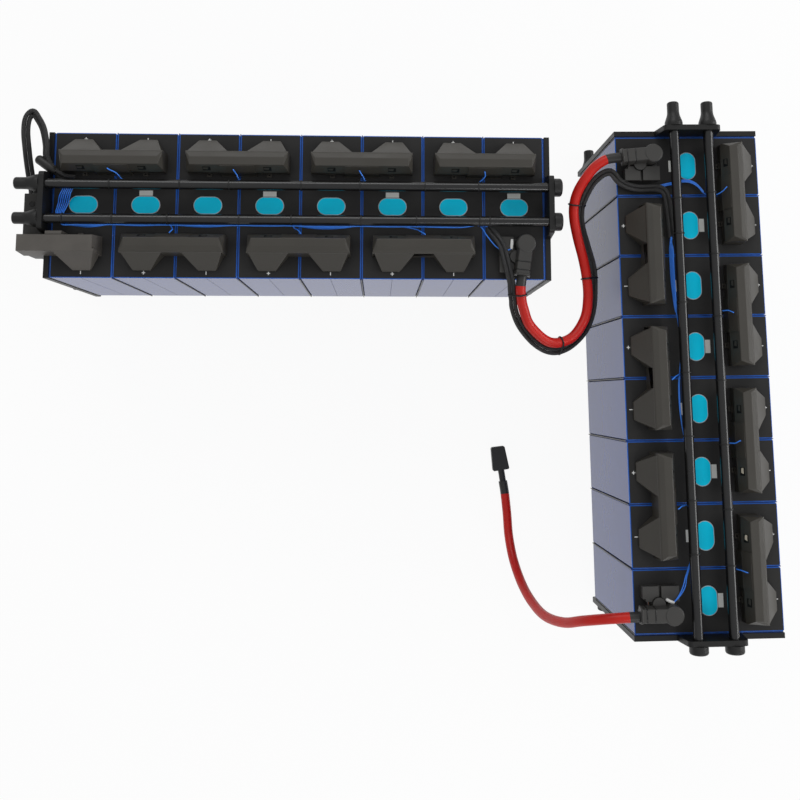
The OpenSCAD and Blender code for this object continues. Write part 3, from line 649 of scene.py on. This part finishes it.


# Cells. Each is an aluminium can shrink-wrapped in blue film. Its sides are coloured a brighter
# blue over their top two to three millimetres, where the film folds over the edge; the terminals are bare
# aluminium.
def film_material():
    gloss = 0.27
    material = moulded("blue film", (0.012, 0.045, 0.250), gloss, spread=0.10, grain=40.0,
                       relief=0.000008, specular=0.38)
    nodes, links = material.node_tree.nodes, material.node_tree.links
    skin = nodes["Principled BSDF"]
    links.remove(skin.inputs["Roughness"].links[0])
    skin.inputs["Roughness"].default_value = gloss
    place = nodes.new("ShaderNodeTexCoord")
    split = nodes.new("ShaderNodeSeparateXYZ")
    links.new(place.outputs["Object"], split.inputs["Vector"])
    fold = nodes.new("ShaderNodeMapRange")
    fold.inputs["From Min"].default_value = CELL_TOP - 0.0030
    fold.inputs["From Max"].default_value = CELL_TOP - 0.0010
    links.new(split.outputs["Z"], fold.inputs["Value"])
    # The top band of the sides is given a brighter blue than the rest.
    folded = nodes.new("ShaderNodeMix")
    folded.data_type = "RGBA"
    folded.inputs["B"].default_value = (0.020, 0.130, 0.560, 1)
    links.new(fold.outputs["Result"], folded.inputs["Factor"])
    links.new(skin.inputs["Base Color"].links[0].from_socket, folded.inputs["A"])
    bare = nodes.new("ShaderNodeMath")
    bare.operation = "GREATER_THAN"
    bare.inputs[1].default_value = CELL_TOP + 0.0001
    links.new(split.outputs["Z"], bare.inputs[0])
    links.new(bare.outputs[0], skin.inputs["Metallic"])
    mix = nodes.new("ShaderNodeMix")
    mix.data_type = "RGBA"
    mix.inputs["B"].default_value = (0.72, 0.72, 0.73, 1)
    links.new(bare.outputs[0], mix.inputs["Factor"])
    links.new(folded.outputs["Result"], mix.inputs["A"])
    links.new(mix.outputs["Result"], skin.inputs["Base Color"])
    return material


FILM = film_material()
for pack in "ab":
    for n in range(1, 9):
        softened(f"cell_{pack}{n}_film", f"cell_{pack}{n}", 0.0014, FILM, 3)


def slabs(name, outlines, place, thick, material):
    """One mesh piece of flat closed slabs: each outline drawn in a place's XY, raised by thick."""
    shape = bmesh.new()
    for outline, place in outlines if place is None else [(outline, place) for outline in outlines]:
        low = [shape.verts.new(place @ Vector((x, y, 0))) for x, y in outline]
        high = [shape.verts.new(place @ Vector((x, y, thick))) for x, y in outline]
        shape.faces.new(high)
        shape.faces.new(low[::-1])
        for k in range(len(outline)):
            after = (k + 1) % len(outline)
            shape.faces.new((low[k], low[after], high[after], high[k]))
    mesh = bpy.data.meshes.new(name)
    bmesh.ops.recalc_face_normals(shape, faces=shape.faces)
    shape.to_mesh(mesh)
    shape.free()
    mesh.materials.append(material)
    piece = bpy.data.objects.new(name, mesh)
    bpy.context.collection.objects.link(piece)
    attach(piece, "root")
    return piece


# Film seams: the overlap of the wrap, one hairline strip down the middle of each front face.
SEAM = moulded("film overlap", (0.006, 0.014, 0.070), 0.45, spread=0.10, grain=40.0, relief=0.000008,
               specular=0.15)
SEAM_HALF = 0.0003
SEAM_FOOT, SEAM_HEAD = 0.024, 0.219
CELL_WIDTH = 0.174


def strip(left, low, right, high):
    """The four corners of a straight strip, for slabs."""
    return [(left, low), (right, low), (right, high), (left, high)]


strips = []
for n in range(1, 9):
    middle = cell_middle(n)
    strips.append(strip(middle - SEAM_HALF, SEAM_FOOT, middle + SEAM_HALF, SEAM_HEAD))
front = pack_a @ Matrix.Translation((0, -CELL_WIDTH / 2, 0)) @ Matrix.Rotation(math.pi / 2, 4, "X")
slabs("film_seams", strips, front, 0.00004, SEAM)

# Top sheets: thin black satin sheet glued on each cell, cut out over the vent and terminals.
SHEET = moulded("top sheet", (0.0145, 0.0145, 0.0150), 0.60, spread=0.15, grain=1600, dust=0.06,
                specular=0.25)
for pack in "ab":
    softened(f"top_sheets_{pack}_skin", f"top_sheets_{pack}", 0.0002, SHEET, 1)

# Boards between the cells, pads and end plates: black glass-cloth laminate, sawn to size. Blue
# tape runs over the upper edges of the boards.
LAMINATE = moulded("laminate", (0.008, 0.008, 0.008), 0.45, spread=0.2, grain=1400, dust=0.03,
                   specular=0.35)
TAPE_DEPTH = 0.0040


def taped_laminate():
    material = moulded("taped laminate", (0.010, 0.010, 0.010), 0.40, spread=0.2, grain=1400)
    nodes, links = material.node_tree.nodes, material.node_tree.links
    skin = nodes["Principled BSDF"]
    place = nodes.new("ShaderNodeTexCoord")
    split = nodes.new("ShaderNodeSeparateXYZ")
    links.new(place.outputs["Object"], split.inputs["Vector"])
    taped = nodes.new("ShaderNodeMath")
    taped.operation = "GREATER_THAN"
    taped.inputs[1].default_value = CELL_TOP - TAPE_DEPTH
    links.new(split.outputs["Z"], taped.inputs[0])
    mix = nodes.new("ShaderNodeMix")
    mix.data_type = "RGBA"
    mix.inputs["B"].default_value = (0.012, 0.062, 0.270, 1)
    links.new(taped.outputs[0], mix.inputs["Factor"])
    links.new(skin.inputs["Base Color"].links[0].from_socket, mix.inputs["A"])
    links.new(mix.outputs["Result"], skin.inputs["Base Color"])
    return material


BOARD_SKIN = taped_laminate()
for pack in "ab":
    softened(f"boards_{pack}_laminate", f"boards_{pack}", 0.0002, BOARD_SKIN, 1)
    softened(f"plates_{pack}_laminate", f"plates_{pack}", 0.0007, LAMINATE, 2)

# Busbar covers: dark grey moulded shells that snap over two terminals each. The end cover is a
# coarser, paler moulding.
COVER = moulded("cover plastic", screen(58, 55, 49), 0.45, spread=0.10, grain=2600, relief=0.00005, dust=0.03)
END_COVER = moulded("end cover plastic", screen(84, 80, 75), 0.55, spread=0.35, grain=1300,
                    relief=0.00012, dust=0.04)
SHORT_EDGE = 0.0098
COVER_FOOT = CELL_TOP + 0.003


def sloping(frame_of_pack, side):
    """Lays back the upper half of a cover's inner wall, which the windows open, toward its crest.

    v is the distance from the pack's middle line and z the height over the sheets, in millimetres.
    The outer skin, the inner skin and the wall below them are moved in turn.
    """
    back = frame_of_pack.inverted()

    def moved(place):
        spot = back @ place
        v, z = side * spot.y * 1000, (spot.z - CELL_TOP) * 1000 - 0.8
        if z < 3 or v > 46:
            return place
        if z > 26 and abs(z - 26.6 - 0.387 * (v - 38.8)) < 0.7:
            share = min(max((v - 38.8) / 6.2, 0), 1)
            v, z = 36.9 + 6.3 * share, 15.2 + 13.8 * share
        elif z > 24 and v > 40.2:
            share = min(max((v - 40.8) / 4.2, 0), 1)
            v, z = 39.4 + 5.2 * share, 13.4 + 12.8 * share
        else:
            v, z = v - 1.6 * z / 26.6, 0.57 * z
            v = max(v, 36.2)
        return frame_of_pack @ Vector((spot.x, side * v / 1000, CELL_TOP + (z + 0.8) / 1000))
    return moved


CREST_OUT, CREST_UP = 0.0432, 0.0298
SLOPE_OUT, SLOPE_UP = 0.415, 0.910
WINDOW_OUT = 0.0355
window_shades, panels, tabs = [], [], []
for name, frame_of_pack, side, first, count in (("a_back", pack_a, 1, 1, 4), ("a_front", pack_a, -1, 2, 3),
                                                ("b_inner", pack_b, -1, 2, 3), ("b_outer", pack_b, 1, 1, 4)):
    for n in range(1, count + 1):
        softened(f"cover_{name}_{n}_shell", f"cover_{name}_{n}", 0.0004, COVER, 1, 12,
                 SHORT_EDGE, COVER_FOOT, sloping(frame_of_pack, side))
        middle = (first + 2 * (n - 1)) * PITCH - BOARD / 2
        crest = frame_of_pack @ Matrix.Translation((middle, side * CREST_OUT, CELL_TOP + CREST_UP))
        across = (0, -side * SLOPE_OUT, -side * SLOPE_UP, 0)
        upward = (0, -SLOPE_UP, SLOPE_OUT, 0)
        slope = crest @ Matrix(((-side, 0, 0, 0), across, upward, (0, 0, 0, 1)))
        panels.append(([(-0.0200, 0.0012), (0.0200, 0.0012), (0.0204, 0.0146), (-0.0204, 0.0146)], slope))
        for end in (-1, 1):
            at = end * WINDOW_OUT
            window_shades.append((strip(at - 0.0046, 0.0044, at + 0.0046, 0.0114), slope))
            tab = [(at - 0.0026, 0.0058), (at + 0.0040, 0.0058), (at + 0.0040, 0.0090), (at - 0.0012, 0.0096)]
            tabs.append((tab, slope))
softened("end_cover_shell", "end_cover", 0.0004, END_COVER, 1, 12, SHORT_EDGE, COVER_FOOT)

# Each cover's slope carries a raised panel between two windows. Each window is drawn as a thin near-black
# slab, painted shade that stands for the dark inside of the opening. A tab shows in them, and a pale one
# in two windows of the last two covers, which are the second pack's outer ones.
# Painted shade: a near-black finish for the window slabs, in place of the shade inside the openings.
WINDOW_SHADE = moulded("window painted shade", (0.004, 0.004, 0.004), 0.60, grain=1500, specular=0.2)
slabs("cover_panels", panels, None, 0.0008, COVER)
# Near-black slabs over the window openings: painted shade, not a part.
slabs("cover_window_shade", window_shades, None, 0.00015, WINDOW_SHADE)
slabs("cover_tabs", tabs, None, 0.00030, COVER)
PALE = moulded("pale nylon", (0.62, 0.56, 0.44), 0.5, grain=1500)
slabs("pale_tabs", [tabs[-4], tabs[-1]], None, 0.00045, PALE)

# Tie rods in smooth black sleeves, with moulded caps over their nuts and heads.
SLEEVE = moulded("rod sleeve", (0.006, 0.006, 0.006), 0.22, spread=0.2, grain=700, relief=0.00001,
                 dust=0.01, specular=0.62)
CAP = moulded("cap plastic", (0.008, 0.008, 0.008), 0.42, spread=0.15, grain=1500, dust=0.03,
              specular=0.40)
STEEL = moulded("zinc plated steel", (0.55, 0.56, 0.58), 0.32, grain=900)
STEEL.node_tree.nodes["Principled BSDF"].inputs["Metallic"].default_value = 1.0
COPPER = moulded("copper", (0.62, 0.27, 0.13), 0.30, grain=900)
COPPER.node_tree.nodes["Principled BSDF"].inputs["Metallic"].default_value = 1.0
for pack in "ab":
    softened(f"sleeves_{pack}_skin", f"sleeves_{pack}", 0.0003, SLEEVE, 1)
    softened(f"rods_{pack}_steel", f"rods_{pack}", 0.0004, STEEL, 1)
    softened(f"busbars_{pack}_copper", f"busbars_{pack}", 0.0004, COPPER, 1)
softened("nut_caps_moulded", "nut_caps", 0.0006, CAP, 2)
softened("head_caps_moulded", "head_caps", 0.0006, CAP, 2)
softened("rod_nuts_steel", "rod_nuts", 0.0003, STEEL, 1)
softened("terminal_nuts_blackened", "terminal_nuts", 0.0003, CAP, 1)
softened("rod_ties_nylon", "rod_ties", 0.0003, CAP, 1)

# Vent covers: crinkled cyan foil over each cell's vent, held down by a bare aluminium rim.
FOIL = moulded("vent foil", (0.0, 0.70, 1.0), 0.34, spread=0.08, grain=260.0, relief=0.00020, specular=0.15)
RIM = moulded("vent rim", (0.46, 0.50, 0.52), 0.35, grain=900)
RIM_RADIUS = 0.0103
RIM_STRAIGHT = 0.0063
RIM_UP = 0.0012
for pack, frame_of_pack in (("a", pack_a), ("b", pack_b)):
    softened(f"vents_{pack}_foil", f"vents_{pack}", 0.0013, FOIL, 3)
    rims = []
    for n in range(1, 9):
        rim = []
        for k in range(49):
            angle = math.tau * k / 48
            end = cell_middle(n) + (RIM_STRAIGHT if math.cos(angle) >= 0 else -RIM_STRAIGHT)
            rim.append((end + RIM_RADIUS * math.cos(angle), RIM_RADIUS * math.sin(angle), RIM_UP))
        rims.append([frame_of_pack @ Matrix.Translation((0, 0, CELL_TOP)) @ Vector(point) for point in rim])
    rim_piece = tubes(f"vent_rims_{pack}", rims, 0.0005, 8, RIM)
    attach(rim_piece, "root")

# Printed on the sheets: a white plus or minus beside each covered terminal. Small blank white
# labels are stuck on beside the vents.
PRINT = moulded("white print", (0.78, 0.78, 0.76), 0.5, grain=1500)
LABEL = moulded("blank label", (0.66, 0.67, 0.64), 0.55, spread=0.2, grain=900)
MARK_ARM, MARK_HALF = 0.0020, 0.0005
FRONT_MARKS, BACK_MARKS = -0.0808, 0.0794


def plus_mark(x, y):
    arm, half = MARK_ARM, MARK_HALF
    return [(x - arm, y - half), (x - half, y - half), (x - half, y - arm), (x + half, y - arm),
            (x + half, y - half), (x + arm, y - half), (x + arm, y + half), (x + half, y + half),
            (x + half, y + arm), (x - half, y + arm), (x - half, y + half), (x - arm, y + half)]


def minus_mark(x, y):
    return strip(x - MARK_HALF, y - MARK_ARM, x + MARK_HALF, y + MARK_ARM)


for pack, frame_of_pack in (("a", pack_a), ("b", pack_b)):
    marks, labels = [], []
    for n in range(1, 9):
        even = n % 2 == 0
        middle = cell_middle(n)
        if pack + str(n) not in ("a8", "b1", "b8"):
            front_mark = plus_mark if even else minus_mark
            marks.append(front_mark(middle, FRONT_MARKS))
        back_mark = minus_mark if even else plus_mark
        marks.append(back_mark(middle, BACK_MARKS))
        if even:
            labels.append(strip(middle - 0.0080, 0.0113, middle + 0.0078, 0.0175))
        else:
            labels.append(strip(middle - 0.0070, -0.0226, middle + 0.0070, -0.0180))
    on_sheet = frame_of_pack @ Matrix.Translation((0, 0, CELL_TOP + 0.0008))
    slabs(f"polarity_marks_{pack}", marks, on_sheet, 0.00012, PRINT)
    slabs(f"blank_labels_{pack}", labels, on_sheet, 0.00015, LABEL)

# Cable boots and their blocks: dark moulded rubber and plastic over copper lugs. A black clip
# sits in each groove of a boot's neck.
RUBBER = moulded("boot rubber", screen(50, 49, 47), 0.50, spread=0.15, grain=1800, dust=0.06)
BLOCK = moulded("block plastic", screen(52, 51, 49), 0.45, spread=0.15, grain=1800, dust=0.06)
BLACK = moulded("black nylon", (0.006, 0.006, 0.006), 0.30, grain=1500)
softened("boots_rubber", "boots", 0.0008, RUBBER, 2, 25)
softened("boot_blocks_moulded", "boot_blocks", 0.0006, BLOCK, 2)
softened("cable_lugs_insulated", "cable_lugs", 0.0003, BLOCK, 1)
NECK = [(-0.0046, 0.0108), (0.0046, 0.0108), (0.0062, 0.0128), (0.0089, 0.0148), (0.0083, 0.0195),
        (0.0072, 0.0240), (0.0060, 0.0250), (-0.0060, 0.0250), (-0.0072, 0.0240), (-0.0083, 0.0195),
        (-0.0089, 0.0148), (-0.0062, 0.0128), (-0.0046, 0.0108)]
BOOT_OUT, BOOT_ACROSS = 0.011, -0.0468
GROOVES = (0.0215, 0.0313)
NECK_END = 0.0366
clips, collars = [], []
for frame_of_pack, n, lean, turn in ((pack_a, 8, 1, -8), (pack_b, 1, -1, 5), (pack_b, 8, 1, -0.5)):
    middle = (n - 0.5) * PITCH - BOARD / 2
    boot = frame_of_pack @ Matrix.Translation((middle + lean * BOOT_OUT, BOOT_ACROSS, CELL_TOP))
    boot = boot @ Matrix.Rotation(math.radians(180 + turn), 4, "Z")
    for groove in GROOVES:
        clips.append([boot @ Vector((x, groove, z)) for x, z in NECK])
    collars.append([boot @ Vector((1.05 * x, NECK_END, 1.04 * z - 0.0007)) for x, z in NECK])
clip_piece = tubes("boot_clips", clips, 0.0009, 8, BLACK)
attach(clip_piece, "root")
collar_piece = tubes("boot_collars", collars, 0.0012, 8, RUBBER)
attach(collar_piece, "root")

# Under each boot an insulating plate lies over the copper, with a round cap over the cell's stud.
PLATE_TOP = 0.0055
PLATE = [(-0.0114, -0.0704), (0.0114, -0.0704), (0.0114, -0.0574), (0.0204, -0.0574),
         (0.0204, -0.0386), (-0.0114, -0.0386)]
STUD_OUT = 0.0610


def ring(radius, sides):
    """The corners of a regular outline that stands for a circle."""
    turns = [math.tau * k / sides for k in range(sides)]
    return [(radius * math.cos(turn), radius * math.sin(turn)) for turn in turns]


plates, caps = [], []
for frame_of_pack, n, out in ((pack_a, 8, 1), (pack_b, 1, -1), (pack_b, 8, 1)):
    block = frame_of_pack @ Matrix.Translation(((n - 0.5) * PITCH - BOARD / 2, 0, CELL_TOP))
    plates.append([tuple((block @ Vector((out * x, y, 0))).xy) for x, y in PLATE])
    caps.append([tuple((block @ Vector((x, y - STUD_OUT, 0))).xy) for x, y in ring(0.0074, 24)])
over_copper = Matrix.Translation((0, 0, CELL_TOP + PLATE_TOP))
slabs("boot_plates", plates, over_copper, 0.0006, BLOCK)
slabs("stud_caps", caps, over_copper, 0.0100, BLOCK)

# Cable ties: thin nylon straps pulled round the power link and the harness together. The places
# are those of the ties in the first pack's frame, above its cell tops.
TIES = ((0.5534, -0.1051, 0.012), (0.6038, -0.1605, -0.010), (0.6389, -0.0825, -0.028),
        (0.6219, 0.0065, -0.005))
STRAP_RADIUS = 0.0010


def strap(first, second, first_radius, second_radius, heading):
    """A closed path round two cables whose middles are given, square to the heading."""
    up = heading.cross(Vector((0, 0, 1))).normalized()
    out = up.cross(heading).normalized()
    cables = ((first, first_radius), (second, second_radius))
    path = []
    for k in range(37):
        angle = math.tau * k / 36
        way = math.cos(angle) * up + math.sin(angle) * out
        middle, radius = max(cables, key=lambda cable: cable[0].dot(way) + cable[1])
        path.append(middle + radius * way)
    return path


def abreast(middle, heading):
    """The harness's point that lies square beside the link's at this middle."""
    def offset(point):
        away = point - middle
        return abs(away.dot(heading)) + 0.2 * away.length

    return min(hugging_path, key=offset)


straps = []
for x, y, z in TIES:
    near = pack_a @ Vector((x, y, CELL_TOP + z))
    at = min(range(1, len(link_path) - 1), key=lambda k: (link_path[k] - near).length)
    heading = (link_path[at + 1] - link_path[at - 1]).normalized()
    beside = abreast(link_path[at], heading)
    straps.append(strap(link_path[at], beside, LINK_DIAMETER / 2 + 0.0006, 0.0046, heading))
strap_piece = tubes("loom_ties", straps, STRAP_RADIUS, 8, BLACK)
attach(strap_piece, "root")

# Sense wires: thin blue leads. They leave the braid, cross over the first cell, run along the
# rods under its ties and drop into the covers; two end in white sleeved ring lugs at the boots.
# Their routes are in millimetres in a pack's frame: along it, across it, above the cell tops.
WIRE = moulded("sense wire", (0.045, 0.240, 0.900), 0.35, spread=0.1, grain=900)
WIRE_RADIUS = 0.0007
ROD_ACROSS, ROD_UP = -20.5, 22.5
AGAINST_ROD = 6.9


def millimetres(route, steps, pack):
    return smooth_path([(x / 1000, y / 1000, z / 1000) for x, y, z in route], steps, pack)


# The first pack's bundle of six is tied under the front rod and sags between its ties. Each wire
# leaves it by its own end.
wires = []
ties = [place * 1000 * PITCH for place in (0.25, 1.03, 1.90, 3.03, 3.86, 4.97, 5.86, 6.88)]
sags = (0.65, 0.4, 0.55, 0.3, 0.9, 0.3, 0.35)
ends = {5: [(144, -30, 18), (145.5, -32.5, 22), (144, -35.6, 26), (143, -37.5, 27.6)],
        4: [(286, -29.5, 17), (290, -32, 21), (293, -35.5, 26), (294.5, -37.5, 27.6)],
        3: [(428, -29.5, 17), (433, -32.6, 21), (437, -35.8, 26), (439, -37.5, 27.6)],
        2: [(503, -25, 16.5), (512, -36, 15), (522, -48, 14), (530, -53, 14), (538, -53, 14),
            (541.4, -50.8, 14)],
        1: [(503, -24, 16), (513, -25.5, 15)],
        0: [(503, -23.5, 17), (513, -24.5, 15)]}
for k in range(6):
    share = 1 - k / 5
    route = [(20 + 11 * share, 27, 11), (14.5 + 11 * share, 14, 14.5), (10.5 + 12 * share, 7.5, 11),
             (8 + 11.5 * share, 1, 6), (7 + 10.5 * share, -5.7, 7), (7.5 + 9 * share, -11, 11),
             (11 + 6 * share, -17, 14)]
    rest = math.radians(192 + 8 * k)
    y, z = ROD_ACROSS + AGAINST_ROD * math.cos(rest), ROD_UP + AGAINST_ROD * math.sin(rest)
    for tie, after, sag in zip(ties, ties[1:] + [0], sags + (0,)):
        if tie > ends[k][0][0] - 4:
            break
        route.append((tie, y, z))
        for part in (0.25, 0.5, 0.75):
            x = tie + part * (after - tie)
            if sag and x < ends[k][0][0] - 8:
                drop = sag * math.sin(math.pi * part)
                route.append((x, y - drop * (0.4 + 1.25 * k), z - drop * 0.7 * k))
    wires.append(millimetres(route + ends[k], 5, pack_a))

# Single leads run from under the back rod up into the windows of the first pack's back covers.
for end in ([(88, 24, 15), (82.8, 28.8, 18), (78, 34, 22), (71, 36.8, 26.4), (69, 38.4, 27.4)],
            [(224, 22, 15), (220.5, 27, 18), (218, 33, 22), (215.5, 36.4, 26.4), (214.5, 38, 27.4)],
            [(372, 21, 15), (369, 25.5, 18), (366, 31.5, 22), (362.5, 36.4, 26.4), (361.5, 38, 27.4)],
            [(496, 21, 15), (503, 26.6, 18), (509.5, 32.5, 22), (509.5, 36.4, 26.4), (509, 38, 27.4)]):
    wires.append(millimetres(end, 6, pack_a))

# In the second pack five leave the braid beside the inner rod and two go on to the far boot.
for k in range(5):
    low = 19.5 - 1.8 * k
    route = [(124, -25 - 0.3 * k, 9), (131, -26.5 - 0.4 * k, 12), (140, -27.4 - 0.5 * k, low),
             (155, -27.4 - 0.55 * k, low), (175, -27.3 - 0.5 * k, low), (190, -27.3 - 0.35 * k, low + 1),
             (206, -26.8 - 0.2 * k, 19.5 - 1.3 * k), (215, -26.4, 17.5 - 0.6 * k)]
    if k < 2:
        route += [(232, -23, 13), (262, -22 + k, 12), (284, -25, 15), (300, -27.2 - 0.8 * k, 18),
                  (325, -27.4 - 0.8 * k, 18), (346, -26, 16.5), (364, -23, 13), (420, -22 + k, 12),
                  (490, -22 + k, 12), (508, -25 - k, 14.5), (518, -29 - 1.5 * k, 16.5),
                  (526, -29.8 - 2.5 * k, 15), (534, -33.5 - 2 * k, 14), (541, -39.3 - k, 14),
                  (545.4, -44.4, 14)]
    wires.append(millimetres(route, 5, pack_b))

# Three more cross over its first cell, and one of them comes out again under the outer rod.
for k in range(3):
    route = [(61 + 1.2 * k, -38, 3.5), (59 + 1.2 * k, -32, 3), (57.5 + 1.2 * k, -25, 4),
             (55 + 1.3 * k, -12.3, 5), (53.6 + 1.3 * k, -8, 4.5), (54.2 + 1.3 * k, 1.5, 4.5),
             (59.5 + 1.2 * k, 9, 7.5), (70 + k, 15, 13)]
    wires.append(millimetres(route, 6, pack_b))
for end in ([(72, 15, 14), (75.5, 22, 14), (74.6, 28.5, 17), (72, 34, 22), (68.5, 37, 26.4),
             (67, 38.5, 27.4)],
            [(214, 20, 15), (213.9, 28.2, 17), (213.9, 33.5, 22), (216, 36.8, 26.4), (217, 38.4, 27.4)],
            [(368, 20, 15), (367.5, 28.2, 17), (367.6, 33.5, 22), (365, 36.8, 26.4), (364.5, 38.4, 27.4)],
            [(508, 20, 15), (509.3, 27.6, 17), (510.2, 33, 22), (511.6, 36.8, 26.4), (512, 38.4, 27.4)],
            [(286, -22, 15), (288.2, -27.8, 18), (290, -32.2, 22), (292.7, -36.6, 26.4), (294, -38.2, 27.4)],
            [(436, -22, 15), (437.6, -28.1, 18), (437.8, -32.2, 22), (439.6, -36.6, 26.4),
             (440, -38.2, 27.4)]):
    wires.append(millimetres(end, 6, pack_b))
wire_piece = tubes("sense_wires", wires, WIRE_RADIUS, 8, WIRE)
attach(wire_piece, "root")
lug_ends = [millimetres([(541.3, -52, 14.2), (541.9, -46, 14.3), (542.2, -40.3, 14.2)], 4, pack_a),
            millimetres([(541.5, -52.8, 14.2), (544, -48.5, 14.3), (545.6, -43.8, 14.2)], 4, pack_b)]
LUG_RADIUS = 0.0019
LUG_SWELL = (0.8, 0.95, 1, 1, 1, 1, 1, 0.95, 0.8)
lug_piece = tubes("sense_lug_sleeves", lug_ends, LUG_RADIUS, 12, PRINT, LUG_SWELL)
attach(lug_piece, "root")

# Knot: a fat heat-shrink joint where the loop of braid meets the sense wires.
KNOT = moulded("heat shrink knot", screen(30, 29, 27), 0.42, spread=0.2, grain=900)
KNOT_RADIUS = 0.0056
knot_path = millimetres([(-17.6, 53.4, 9), (-12, 49.6, 10.5), (-4, 43.6, 11), (4.8, 37, 9.5)], 5, pack_a)
knot_swell = [0.55, 0.85, 0.97] + [1.0] * (len(knot_path) - 5) + [0.93, 0.72]
knot = tubes("loop_knot", [knot_path], KNOT_RADIUS, 20, KNOT, knot_swell)
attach(knot, "root")

# Control box and its plug: moulded cases on the end plate, with one recessed screw on top.
BOX = moulded("box plastic", screen(40, 39, 37), 0.50, spread=0.15, grain=1800, dust=0.08)
softened("control_box_case", "control_box", 0.0008, BOX, 2)
PLUG = moulded("plug plastic", (0.30, 0.30, 0.34), 0.4)
softened("box_plug_body", "box_plug", 0.0008, PLUG, 2)
screw_place = pack_a @ Matrix.Translation((-0.0244, 0.0004, CELL_TOP))
recess = [screw_place @ Vector((x, y, 0)) for x, y in ring(0.0031, 24)]
rim_of_screw = tubes("box_screw_rim", [recess + recess[:1]], 0.0005, 8, BOX)
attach(rim_of_screw, "root")
slabs("box_screw_head", [ring(0.0024, 16)], screw_place, 0.0004, CAP)
